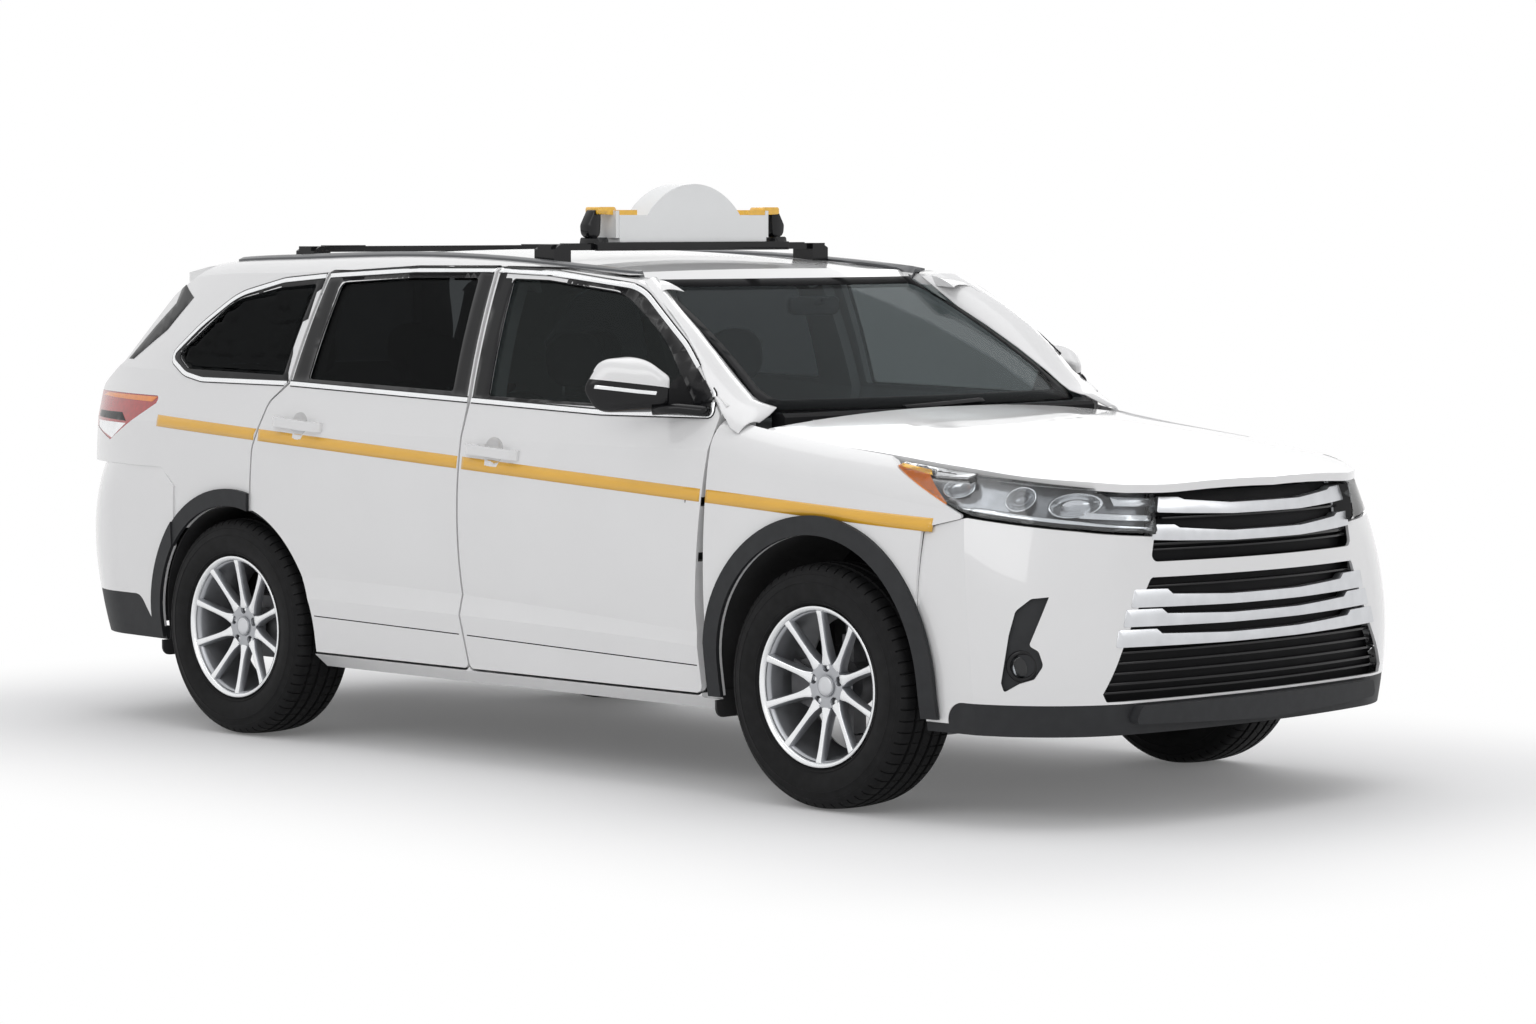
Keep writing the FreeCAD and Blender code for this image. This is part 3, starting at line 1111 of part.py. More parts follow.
def roof_bar(x, top):
    """Cross bar with a foot at each end that stands on the roof and slopes off outwards."""
    bar = box(x - BAR_W / 2, x + BAR_W / 2, -BAR_HALF, BAR_HALF, top - BAR_T, top)
    foot_low = top - 75
    feet = []
    for side in (1, -1):
        outer, inner = side * BAR_HALF, side * (BAR_HALF - BAR_FOOT[1])
        slope = area([(inner, foot_low), (inner, top), (outer - side * 30, top), (outer, top - 16), (outer, foot_low)], front_place)
        foot = lengthwise(slope, x - BAR_FOOT[0] / 2, x + BAR_FOOT[0] / 2)
        feet.append(biggest(foot.cut(roof_shell(120, -BAR_OVER))))
        y0, y1 = sorted((side * BAR_PAD["y"][0], side * BAR_PAD["y"][1]))
        half = BAR_W / 2 - BAR_PAD["in"]
        feet.append(box(x - half, x + half, y0, y1, top - 2, top + BAR_PAD["t"]))
    return bar.fuse(feet)


def roof_sign():
    """Blank lit dome on flat shoulders over the front cross bar, with a skirt before the bar and caps on its ends."""
    s = SIGN
    x = s["x"][0]
    wire = Part.Wire([
        line(V(x, -s["half"], s["z"]), V(x, s["half"], s["z"])),
        line(V(x, s["half"], s["z"]), V(x, s["half"], s["shoulder"])),
        line(V(x, s["half"], s["shoulder"]), V(x, s["dome"], s["shoulder"])),
        arc(V(x, s["dome"], s["shoulder"]), V(x, 0, s["top"]), V(x, -s["dome"], s["shoulder"])),
        line(V(x, -s["dome"], s["shoulder"]), V(x, -s["half"], s["shoulder"])),
        line(V(x, -s["half"], s["shoulder"]), V(x, -s["half"], s["z"])),
    ])
    body = Part.Face(wire).extrude(V(s["x"][1] - x, 0, 0))
    skirt = box(*SIGN_SKIRT["x"], -SIGN_SKIRT["half"], SIGN_SKIRT["half"], SIGN_SKIRT["low"], s["z"] + 5)
    caps = []
    for side in (1, -1):
        y0, y1 = sorted((side * (s["half"] - 1), side * (s["half"] + SIGN_END["t"])))
        caps.append(box(*SIGN_END["x"], y0, y1, SIGN_END["low"], SIGN_END["high"]))
    return body.fuse([skirt] + caps)


def sign_lamps():
    s = SIGN
    lamps = []
    for side in (1, -1):
        y0, y1 = sorted((side * SIGN_LAMP["y"][0], side * (SIGN_LAMP["y"][1] - 2)))
        lamps.append(box(s["x"][0] + 4, s["x"][1] - 4, y0, y1, s["shoulder"] + SEAT, SIGN_LAMP["high"]))
    return lamps


# Left mirror seen from ahead (y, z, corner radius), and its sections' reach in x at the root and at the tip
MIRROR_FACE = [(940, 1176, 20), (1080, 1176, 50), (1104, 1250, 50), (1060, 1332, 50), (975, 1345, 40), (935, 1290, 30)]
MIRROR_X = (782.0, 908.0)
MIRROR_STALK = {"x": (842.0, 896.0), "z": (1188.0, 1216.0), "in": 820.0}


def mirror():
    """Mirror head, rounded in front, on the foot that holds it to the door."""
    head = lengthwise(area(MIRROR_FACE, front_place), *MIRROR_X)
    bullet = area([(MIRROR_X[0], 900), (MIRROR_X[0], 1104), (820, 1104, 30), (MIRROR_X[1] - 20, 1040, 80), (MIRROR_X[1], 900)], plan_place)
    head = head.common(upright(bullet, 1100, 1400))
    stalk = box(*MIRROR_STALK["x"], MIRROR_STALK["in"], 960, *MIRROR_STALK["z"])
    return head.fuse(biggest(stalk.cut(wall(-SEAT, -SEAT, 300, 300))))


def cowl():
    """Tray between hood and windscreen, resting on the firewall."""
    low = FIREWALL_TOP + SEAT
    points = [(1062, low), (1062, 1167), (1108, 1172), (1120, 1160), (1120, low + 4), (1180, low + 4), (1180, low)]
    tray = between_sides(stretched(side_area(points), V(0, 1, 0), -720, 720))
    for y in (HOOD_HINGE["y"], -HOOD_HINGE["y"]):
        tray = tray.cut(box(HOOD_HINGE["x"] - 20, 1200, y - HINGE_W / 2 - 12, y + HINGE_W / 2 + 12, 1100, 1200))
    return tray


# ---------------------------------------------------------------- the nodes
def build():
    os.makedirs("parts", exist_ok=True)
    frame = side_frame()
    save("side_frame_left", frame)
    save("side_frame_right", mirrored(frame))
    doors = {
        "front": side_door(FRONT_DOOR, FRONT_WINDOW, "front"),
        "rear": side_door(REAR_DOOR, REAR_WINDOW, "rear", ARCH["rear"]),
    }
    windows = {"front": pane(FRONT_WINDOW), "rear": pane(REAR_WINDOW)}
    for end in ("front", "rear"):
        for side, flip in (("left", False), ("right", True)):
            save(end + "_door_" + side, mirrored(doors[end]) if flip else doors[end])
            save(end + "_window_" + side, mirrored(windows[end]) if flip else windows[end])
            turned_wheel = wheel(end)
            rubber = tyre(ARCH[end]["x"], HALF_TRACK[end])
            save("wheel_" + end + "_" + side, mirrored(turned_wheel) if flip else turned_wheel)
            save("tyre_" + end + "_" + side, mirrored(rubber) if flip else rubber)
    save("knuckle_left", knuckle())
    save("knuckle_right", mirrored(knuckle()))
    save("mirror_left", mirror())
    save("mirror_right", mirrored(mirror()))
    save("fenders", *both_sides(fender()))
    save("front_bumper", front_bumper())
    save("front_lower_trim", front_trim(), *both_sides(fog_bezel()))
    save("fog_lamps", *both_sides(fog_cylinder(0)))
    save("grille", grille())
    save("headlamps", *both_sides(headlamp()))
    save("tail_lamps", *both_sides(tail_lamp()))
    save("rear_bumper", rear_bumper())
    save("rear_lower_trim", rear_trim())
    save("side_cladding", *[s for piece in arch_rings() for s in both_sides(piece)])
    quarter = pane(QUARTER_WINDOW)
    save("fixed_glass", windscreen(), *both_sides(quarter))
    save("roof_panel", roof_panel())
    save("hood", hood())
    save("tailgate", tailgate())
    save("tailgate_window", tailgate_pane())
    save("floor_pan", floor_pan())
    liners = [wheel_liner(name).fuse(mud_flap(name)) for name in ("front", "rear")]
    save("wheel_liners", *[s for liner in liners for s in both_sides(liner)])
    save("front_suspension", front_suspension())
    save("rear_suspension", rear_suspension())
    save("engine", engine())
    save("exhaust", exhaust())
    save("front_seats", *front_seats())
    save("rear_seats", *rear_seats())
    save("dashboard", dashboard().fuse(column()))
    save("steering_wheel", steering_wheel())
    save("roof_bars", *[roof_bar(*bar) for bar in BARS])
    save("roof_sign", roof_sign())
    save("sign_lamps", *sign_lamps())
    save("cowl", cowl())
    pins = [hinge(DOOR_HINGE_X[end], z) for end in ("front", "rear") for z in HINGE_Z]
    save("hinges", *[s for pin in pins for s in both_sides(pin)], *hood_hinges(), *gate_hinges())


build()
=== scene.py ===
"""Looks of the taxi cab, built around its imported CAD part. Metres; X forward, Y left, Z up."""

import math

import bmesh
import bpy
from mathutils import Matrix, Vector
from mathutils.bvhtree import BVHTree
from mathutils.geometry import delaunay_2d_cdt


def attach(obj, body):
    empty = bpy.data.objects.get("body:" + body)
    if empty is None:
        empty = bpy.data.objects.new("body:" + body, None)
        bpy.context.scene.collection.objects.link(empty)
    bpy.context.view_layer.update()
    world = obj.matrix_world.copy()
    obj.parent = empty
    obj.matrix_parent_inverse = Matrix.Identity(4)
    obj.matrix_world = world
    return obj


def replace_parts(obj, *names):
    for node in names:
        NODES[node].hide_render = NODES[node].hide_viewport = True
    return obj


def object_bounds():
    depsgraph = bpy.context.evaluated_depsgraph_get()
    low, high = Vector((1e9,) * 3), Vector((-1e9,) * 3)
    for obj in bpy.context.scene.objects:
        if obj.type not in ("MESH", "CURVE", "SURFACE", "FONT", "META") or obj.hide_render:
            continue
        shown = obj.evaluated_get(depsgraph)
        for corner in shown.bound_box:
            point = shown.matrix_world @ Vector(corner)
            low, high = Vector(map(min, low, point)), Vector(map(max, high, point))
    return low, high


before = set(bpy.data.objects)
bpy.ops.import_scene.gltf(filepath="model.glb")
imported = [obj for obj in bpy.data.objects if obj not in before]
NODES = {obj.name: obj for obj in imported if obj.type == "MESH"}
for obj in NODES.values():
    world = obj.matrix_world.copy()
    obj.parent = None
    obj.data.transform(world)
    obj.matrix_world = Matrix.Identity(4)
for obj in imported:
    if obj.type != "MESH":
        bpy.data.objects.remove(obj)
CAD_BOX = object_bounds()
SCENE = bpy.context.scene
SIDES = {"left": 1, "right": -1}

# ---------------------------------------------------------------- camera, light and floor
CAMERA_AT = (10.864, -10.509, 1.776)
CAMERA_AZIMUTH = math.radians(45.50)
CAMERA_DOWN = math.radians(3.92)
CAMERA_LENS = 105.8
CAMERA_SHIFT = (0.0213, 0.0087)


LAMPS = [                     # name, place, what it points at, width and height, power
    ("key", (3.0, -8.5, 5.5), (0.6, 0.0, 0.8), (9.0, 3.0), 150.0),
    ("front", (9.5, 2.5, 4.0), (1.5, 0.0, 0.7), (5.0, 2.5), 70.0),
    ("top", (0.0, 0.0, 7.5), (0.0, 0.0, 1.0), (9.0, 5.0), 140.0),
    ("left", (-4.5, 8.0, 5.0), (0.0, 0.0, 0.8), (6.0, 3.5), 90.0),
]


def add_object(name, data):
    obj = bpy.data.objects.new(name, data)
    SCENE.collection.objects.link(obj)
    return obj


def aim(obj, place, look):
    """Puts a camera or lamp at a place, turned along a line of sight."""
    obj.location = place
    obj.rotation_mode = "QUATERNION"
    obj.rotation_quaternion = look.to_track_quat("-Z", "Y")


def make_camera():
    data = bpy.data.cameras.new("camera")
    data.lens, data.sensor_width = CAMERA_LENS, 36.0
    data.shift_x, data.shift_y = CAMERA_SHIFT
    data.clip_end = 200.0
    SCENE.camera = add_object("camera", data)
    level = math.cos(CAMERA_DOWN)
    ahead = (-math.sin(CAMERA_AZIMUTH) * level, math.cos(CAMERA_AZIMUTH) * level, -math.sin(CAMERA_DOWN))
    aim(SCENE.camera, CAMERA_AT, Vector(ahead))


def area_lamp(name, place, target, size, power):
    data = bpy.data.lights.new(name, "AREA")
    data.shape, data.size, data.size_y, data.energy = "RECTANGLE", *size, power
    aim(add_object(name, data), place, Vector(target) - Vector(place))


class Graph:
    """Shader nodes of a material or the world."""

    def __init__(self, owner):
        owner.use_nodes = True
        self.nodes, self.links = owner.node_tree.nodes, owner.node_tree.links

    def add(self, kind, inputs=None, **settings):
        """New node; an input takes its value, or a link where the value is another node's socket."""
        node = self.nodes.new("ShaderNode" + kind)
        for key, value in settings.items():
            setattr(node, key, value)
        for socket, value in (inputs or {}).items():
            if isinstance(value, bpy.types.NodeSocket):
                self.links.new(value, node.inputs[socket])
            else:
                node.inputs[socket].default_value = value
        return node

    def end(self, output, factor, first, second):
        """Ends in a mix of two shaders."""
        mix = self.add("MixShader", {0: factor, 1: first.outputs[0], 2: second.outputs[0]})
        self.links.new(mix.outputs[0], self.nodes[output].inputs[0])

    def seen_directly(self):
        """Socket that is 1 where the camera sees a surface itself, in a mirror or through glass."""
        path = self.add("LightPath")
        total = path.outputs["Is Camera Ray"]
        for ray in ("Is Glossy Ray", "Is Transmission Ray"):
            total = self.add("Math", {0: total, 1: path.outputs[ray]}, operation="ADD",
                             use_clamp=True).outputs[0]
        return total


SKY = [(0.0, 0.30), (0.47, 0.42), (0.52, 0.30), (0.60, 0.62), (1.0, 1.0)]  # height in the sky, brightness


SKY_STRENGTH = 0.75
SKY_BLUE = 1.02               # blue of the sky over its red and green


def world_light():
    """Soft sky that is brighter above and dim near the horizon, and plain white where the camera sees it."""
    world = bpy.data.worlds.new("world")
    SCENE.world = world
    graph = Graph(world)
    split = graph.add("SeparateXYZ", {0: graph.add("TexCoord").outputs["Generated"]})
    scale = graph.add("MapRange", {"Value": split.outputs["Z"], "From Min": -1.0})
    ramp = graph.add("ValToRGB", {0: scale.outputs[0]})
    stops = ramp.color_ramp.elements
    while len(stops) < len(SKY):
        stops.new(0.5)
    for stop, (height, bright) in zip(stops, SKY):
        stop.position, stop.color = height, (bright, bright, bright * SKY_BLUE, 1)
    back = graph.nodes["Background"]
    graph.links.new(ramp.outputs[0], back.inputs["Color"])
    back.inputs["Strength"].default_value = SKY_STRENGTH
    white = graph.add("Background", {"Color": (1, 1, 1, 1)})
    graph.end("World Output", graph.seen_directly(), back, white)


def light_scene():
    SCENE.view_settings.view_transform = "Standard"
    make_camera()
    world_light()
    for lamp in LAMPS:
        area_lamp(*lamp)


# ---------------------------------------------------------------- materials
def material(name, color, rough, metal=0.0, coat=0.0, grain=None, tint=None, specular=0.5, sheen=0.0):
    """Principled surface; grain: (scale, strength, distance) of a bump, tint: (scale, amount) of drift."""
    m = bpy.data.materials.new(name)
    graph = Graph(m)
    shader = graph.nodes["Principled BSDF"]
    values = {
        "Base Color": (*color, 1), "Roughness": rough, "Metallic": metal, "Coat Weight": coat,
        "Coat Roughness": 0.04, "Specular IOR Level": specular, "Sheen Weight": sheen,
    }
    for socket, value in values.items():
        shader.inputs[socket].default_value = value
    coord = graph.add("TexCoord").outputs["Object"]
    if tint:
        scale, amount = tint
        noise = graph.add("TexNoise", {"Vector": coord, "Scale": scale, "Detail": 4.0})
        ramp = graph.add("ValToRGB", {0: noise.outputs["Fac"]})
        low = [c * (1 - amount) for c in color]
        high = [min(1.0, c * (1 + amount)) for c in color]
        for stop, place, shade in zip(ramp.color_ramp.elements, (0.3, 0.7), (low, high)):
            stop.position, stop.color = place, (*shade, 1)
        graph.links.new(ramp.outputs[0], shader.inputs["Base Color"])
    if grain:
        scale, strength, distance = grain
        noise = graph.add("TexNoise", {"Vector": coord, "Scale": scale, "Detail": 2.0})
        bump = graph.add("Bump", {"Height": noise.outputs["Fac"], "Strength": strength, "Distance": distance})
        graph.links.new(bump.outputs[0], shader.inputs["Normal"])
    return m


def pane(name, color, gloss=1.0):
    """Thin see-through sheet: dims what lies behind and mirrors its surroundings, more at a grazing look."""
    m = bpy.data.materials.new(name)
    graph = Graph(m)
    graph.nodes.remove(graph.nodes["Principled BSDF"])
    noise = graph.add("TexNoise", {"Vector": graph.add("TexCoord").outputs["Object"], "Scale": 2.0})
    ramp = graph.add("ValToRGB", {0: noise.outputs["Fac"]})
    ramp.color_ramp.elements[0].color = (*[c * 0.97 for c in color], 1)
    ramp.color_ramp.elements[1].color = (*color, 1)
    clear = graph.add("BsdfTransparent", {"Color": ramp.outputs[0]})
    mirrored = graph.add("BsdfGlossy", {"Roughness": 0.02})
    edge = graph.add("Fresnel", {"IOR": 1.45})
    amount = graph.add("Math", {0: edge.outputs[0], 1: gloss}, operation="MULTIPLY")
    graph.end("Material Output", amount.outputs[0], clear, mirrored)
    return m


MAT = {
    "paint": material("paint_white", (0.80, 0.80, 0.80), 0.30, coat=1.0, grain=(900, 0.02, 0.0004),
                      tint=(3, 0.012)),
    "plastic": material("plastic_dark_grey", (0.026, 0.027, 0.029), 0.55, grain=(2600, 0.25, 0.0004),
                        tint=(25, 0.10), specular=0.25),
    "gloss": material("black_gloss", (0.006, 0.006, 0.007), 0.14, tint=(8, 0.2), specular=0.3),
    "matt": material("black_matt", (0.008, 0.008, 0.009), 0.6, tint=(12, 0.2), specular=0.15),
    "rubber": material("rubber", (0.010, 0.010, 0.0105), 0.62, grain=(700, 0.25, 0.0006), tint=(30, 0.25),
                       specular=0.15),
    "chrome": material("chrome", (0.90, 0.91, 0.92), 0.25, metal=0.75, tint=(20, 0.02)),
    "satin": material("satin_silver", (0.62, 0.63, 0.65), 0.30, metal=0.85, grain=(1500, 0.05, 0.0003),
                      tint=(20, 0.05)),
    "bright": material("machined_alloy", (0.84, 0.85, 0.86), 0.22, metal=0.9, grain=(1800, 0.05, 0.0002),
                       tint=(15, 0.03)),
    "alloy": material("alloy_grey", (0.42, 0.43, 0.45), 0.35, metal=0.8, grain=(1800, 0.06, 0.0002),
                      tint=(15, 0.05)),
    "strip": material("roof_strip", (0.085, 0.088, 0.094), 0.34, metal=0.3, coat=0.3, tint=(20, 0.05)),
    "steel": material("steel_dark", (0.13, 0.13, 0.135), 0.5, metal=0.6, grain=(200, 0.15, 0.001),
                      tint=(12, 0.3)),
    "iron": material("engine_cast", (0.22, 0.22, 0.22), 0.6, metal=0.4, grain=(150, 0.3, 0.002),
                     tint=(10, 0.3)),
    "glass": pane("glass_clear", (0.42, 0.44, 0.44), 0.12),
    "screen": pane("glass_windscreen", (0.62, 0.65, 0.66), 0.10),
    "privacy": pane("glass_dark", (0.20, 0.21, 0.215), 0.14),
    "lens": pane("lens_clear", (0.93, 0.94, 0.95), 1.2),
    "cloth": material("seat_cloth", (0.045, 0.046, 0.050), 0.85, grain=(900, 0.5, 0.001), tint=(60, 0.2),
                      sheen=0.3),
    "trim": material("cabin_trim", (0.040, 0.040, 0.042), 0.6, grain=(1200, 0.3, 0.0006), tint=(15, 0.12)),
    "amber": material("lens_amber", (0.86, 0.24, 0.015), 0.12, coat=0.8, tint=(60, 0.1)),
    "yellow": material("lens_yellow", (0.90, 0.50, 0.03), 0.15, coat=0.8, tint=(60, 0.08)),
    "red": material("lens_red", (0.42, 0.012, 0.012), 0.12, coat=0.8, tint=(50, 0.15)),
    "stripe": material("stripe_yellow", (0.82, 0.44, 0.025), 0.35, coat=0.8, tint=(8, 0.03)),
    "under": material("underbody", (0.022, 0.022, 0.023), 0.75, grain=(80, 0.3, 0.002), tint=(10, 0.25)),
    "sign": material("sign_white", (0.82, 0.83, 0.83), 0.25, coat=0.4, grain=(500, 0.02, 0.0004),
                     tint=(6, 0.012)),
    "lamp": material("lamp_inside", (0.86, 0.87, 0.88), 0.16, metal=0.75, tint=(30, 0.06)),
    "lamp_grey": material("lamp_housing", (0.34, 0.35, 0.365), 0.2, metal=0.5, coat=0.5, tint=(30, 0.2)),
}
FINISH = [                    # word in a CAD node's name, finish; the first that fits counts
    ("rear_window", "privacy"), ("tailgate_window", "privacy"), ("window", "glass"), ("fixed_glass", "screen"),
    ("mirror", "paint"), ("tyre", "rubber"), ("wheel_liners", "under"), ("steering_wheel", "trim"),
    ("wheel_", "alloy"), ("door", "paint"), ("lower_trim", "plastic"), ("bumper", "paint"),
    ("side_frame", "paint"), ("roof_panel", "paint"), ("fenders", "paint"), ("side_cladding", "plastic"),
    ("grille", "satin"), ("headlamps", "lamp"), ("fog_lamps", "lamp"), ("tail_lamps", "red"),
    ("floor_pan", "under"), ("suspension", "steel"), ("engine", "iron"), ("exhaust", "steel"),
    ("seats", "cloth"), ("dashboard", "trim"), ("roof_bars", "gloss"), ("roof_sign", "sign"),
    ("sign_lamps", "yellow"), ("cowl", "matt"), ("hinges", "steel"), ("knuckle", "steel"), ("hood", "paint"),
    ("tailgate", "paint"),
]


def finish_of(name):
    return next((key for word, key in FINISH if word in name), "trim")


# ---------------------------------------------------------------- making pieces
EDGE_ANGLE = math.radians(35)


def soften(obj, width):
    """Shades a mesh smooth and rounds its edges."""
    for polygon in obj.data.polygons:
        polygon.use_smooth = True
    if width:
        bevel = obj.modifiers.new("edges", "BEVEL")
        bevel.width, bevel.segments, bevel.limit_method, bevel.angle_limit = width, 2, "ANGLE", EDGE_ANGLE


def recalc(obj):
    """Turns every face outwards."""
    mesh = bmesh.new()
    mesh.from_mesh(obj.data)
    bmesh.ops.recalc_face_normals(mesh, faces=mesh.faces)
    mesh.to_mesh(obj.data)
    mesh.free()


def piece(name, verts, faces, finish, body, round_by=0.001):
    """Mesh object with a finish that moves with a CAD body."""
    data = bpy.data.meshes.new(name)
    data.from_pydata([tuple(v) for v in verts], [], faces)
    data.validate()
    data.update()
    obj = add_object(name, data)
    data.materials.append(MAT[finish])
    soften(obj, round_by)
    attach(obj, body)
    return obj


def shell(name, verts, faces, finish, body, round_by=0.001):
    """Closed piece, with its faces turned outwards."""
    obj = piece(name, verts, faces, finish, body, round_by)
    recalc(obj)
    return obj


def strips(rows, around, wrap=False):
    """Faces between rows of points that each run once round, and with wrap from the last row to the first."""
    return [(i * around + k, i * around + (k + 1) % around, on * around + (k + 1) % around, on * around + k)
            for i in range(rows if wrap else rows - 1) for on in [(i + 1) % rows] for k in range(around)]


def caps(rows, around):
    """Faces that close the first and the last row."""
    return [tuple(range(around))[::-1], tuple((rows - 1) * around + k for k in range(around))]


def ring(loop):
    """Pairs of neighbours round a loop."""
    return zip(loop, loop[1:] + loop[:1])


def divide(stretches, longest):
    """Evenly spaced points along stretches (a, b), each without its end."""
    out = []
    for a, b in stretches:
        parts = max(1, math.ceil((b - a).length / longest))
        out += [a.lerp(b, k / parts) for k in range(parts)]
    return out


def rounded(corners, step=0.012):
    """Outline through (a, b) or (a, b, radius) corners, with its arcs as short chords."""
    out = []
    count = len(corners)
    for i, corner in enumerate(corners):
        p = Vector(corner[:2])
        r = corner[2] if len(corner) > 2 else 0.0
        if not r:
            out.append(p)
            continue
        back, on = [(Vector(corners[j % count][:2]) - p).normalized() for j in (i - 1, i + 1)]
        half = back.angle(on) / 2
        reach = r / math.tan(half)
        middle = p + (back + on).normalized() * (r / math.sin(half))
        first, last = p + back * reach - middle, p + on * reach - middle
        turn = first.angle_signed(last)
        steps = max(3, int(abs(turn) * r / step) + 1)
        out += [middle + Matrix.Rotation(-turn * k / steps, 2) @ first for k in range(steps + 1)]
    return out


def inside(p, loop):
    hit = False
    for a, b in ring(loop):
        if (a.y > p.y) != (b.y > p.y) and p.x < a.x + (p.y - a.y) * (b.x - a.x) / (b.y - a.y):
            hit = not hit
    return hit


def filled(outer, holes=(), cell=0.03):
    """Points and triangles of an area with holes, with a grid of points inside to follow a curved form."""
    loops = [divide(ring(loop), cell) for loop in (outer, *holes)]
    points, edges = [], []
    for loop in loops:
        start = len(points)
        points += loop
        edges += ring(list(range(start, len(points))))
    x0, x1 = min(p.x for p in outer), max(p.x for p in outer)
    y0, y1 = min(p.y for p in outer), max(p.y for p in outer)
    margin = cell * 0.35
    for i in range(1, int((x1 - x0) / cell) + 1):
        for j in range(1, int((y1 - y0) / cell) + 1):
            p = Vector((x0 + i * cell, y0 + j * cell))
            if inside(p, loops[0]) and not any(inside(p, hole) for hole in loops[1:]):
                if all((p - q).length > margin for loop in loops for q in loop):
                    points.append(p)
    verts, _, faces, *_ = delaunay_2d_cdt(points, edges, [], 0, 1e-6)
    kept = []
    for face in faces:
        middle = sum((verts[i] for i in face), Vector((0, 0))) / len(face)
        if inside(middle, loops[0]) and not any(inside(middle, hole) for hole in loops[1:]):
            kept.append(tuple(face))
    return verts, kept


def solid(name, flat, faces, front, back, finish, body, round_by=0.001):
    """Closed piece between two images of a flat area: front(p) and back(p) give each point's places."""
    count = len(flat)
    edges = [edge for face in faces for edge in ring(face)]
    directed = set(edges)
    rim = [(a, b) for a, b in dict.fromkeys(edges) if (b, a) not in directed]
    all_faces = list(faces) + [tuple(count + i for i in reversed(face)) for face in faces]
    all_faces += [(b, a, count + a, count + b) for a, b in rim]
    return shell(name, [front(p) for p in flat] + [back(p) for p in flat], all_faces, finish, body, round_by)


def plate(name, outline, front, back, finish, body, round_by=0.001, holes=(), cell=0.03):
    """Closed piece between two images of the area inside an outline."""
    return solid(name, *filled(outline, holes, cell), front, back, finish, body, round_by)


def tree_of(*names):
    """Search tree of CAD nodes' faces."""
    verts, faces = [], []
    for name in names:
        obj = NODES[name]
        start = len(verts)
        verts += [obj.matrix_world @ v.co for v in obj.data.vertices]
        faces += [[start + i for i in p.vertices] for p in obj.data.polygons]
    return BVHTree.FromPolygons(verts, faces)


REACHES = (0.0, 0.002, 0.004, 0.007, 0.011, 0.016, 0.025)  # how far past an edge a skin goes on
REACH_TURNS = 12              # directions in which each try looks
SLOPE = 0.2                   # least share of a face's normal along the look


class Skin:
    """Outside of CAD nodes, or of a given tree, looked at along one axis: a side, from ahead or above."""
    LOOKS = {"left": (0, -1, 0), "right": (0, 1, 0), "front": (-1, 0, 0), "top": (0, 0, -1)}

    def __init__(self, look, *names, tree=None):
        self.tree = tree_of(*names) if tree is None else tree
        self.along = Vector(self.LOOKS[look])
        self.look = look

    def start(self, p):
        """Place far outside from which (a, b) of the view is looked at."""
        if self.look in SIDES:
            return Vector((p[0], 1.5 * SIDES[self.look], p[1]))
        if self.look == "top":
            return Vector((p[0], p[1], 3.0))
        return Vector((3.5, p[0], p[1]))

    def at(self, p):
        """(place, outward normal) where the look at (a, b) meets the nodes, or None."""
        place, normal, _, _ = self.tree.ray_cast(self.start(p), self.along)
        if place is None:
            return None
        if normal.dot(self.along) > 0:
            normal = -normal
        return place, normal

    def over(self, p, lift):
        """Place that stands lift proud of the skin at (a, b); just past an edge the skin is carried on."""
        for reach in REACHES:
            for k in range(REACH_TURNS if reach else 1):
                turn = 2 * math.pi * k / REACH_TURNS
                found = self.at((p[0] + reach * math.cos(turn), p[1] + reach * math.sin(turn)))
                if found and abs(found[1].dot(self.along)) > SLOPE:
                    place = found[0] - self.along * lift
                    back = reach * Vector((math.cos(turn), math.sin(turn)))
                    place[0 if self.look in (*SIDES, "top") else 1] -= back.x
                    place[1 if self.look == "top" else 2] -= back.y
                    return place
        return None


def overlay(name, skin, outer, holes, lift, sink, finish, body, cell=0.03, round_by=0.0008):
    """Sheet that lies on a skin: its face stands lift proud of it and its back lies sink inside."""
    flat, faces = filled(outer, holes, cell)
    faces = [f for f in faces if all(skin.over(flat[i], 0) for i in f)]
    used = sorted({i for f in faces for i in f})
    number = {old: new for new, old in enumerate(used)}
    flat = [flat[i] for i in used]
    faces = [tuple(number[i] for i in f) for f in faces]
    return solid(name, flat, faces, lambda p: skin.over(p, lift), lambda p: skin.over(p, -sink), finish, body,
                 round_by)


def ribbon(name, skin, path, width, lift, sink, finish, body, step=0.006, crown=0.0, round_by=0.0008):
    """Strips that follow a line drawn in a view, wherever both of their edges meet the skin."""
    path = [Vector(p[:2]) for p in path]
    path = divide(zip(path, path[1:]), step) + path[-1:]
    runs = [[]]
    for i, p in enumerate(path):
        ahead = path[min(i + 1, len(path) - 1)] - path[max(i - 1, 0)]
        side = Vector((-ahead.y, ahead.x)).normalized() * (width / 2)
        spots = [p - side, p, p + side]
        if skin.at(p) and all(skin.over(q, 0) for q in spots):
            runs[-1].append(spots)
        elif runs[-1]:
            runs.append([])
    for k, run in enumerate(r for r in runs if len(r) > 2):
        verts = []
        for a, m, b in run:
            verts += [skin.over(*spot)
                      for spot in ((a, lift), (m, lift + crown), (b, lift), (b, -sink), (a, -sink))]
        faces = strips(len(run), 5) + caps(len(run), 5)
        shell(f"{name}_{k}" if k else name, verts, faces, finish, body, round_by)


def lathe(name, profile, steps, place, finish, body, round_by):
    """Ring from (radius, distance along) points; place(r, angle, a) gives each point's position."""
    verts = [place(r, 2 * math.pi * k / steps, a) for k in range(steps) for r, a in profile]
    return shell(name, verts, strips(steps, len(profile), True), finish, body, round_by)


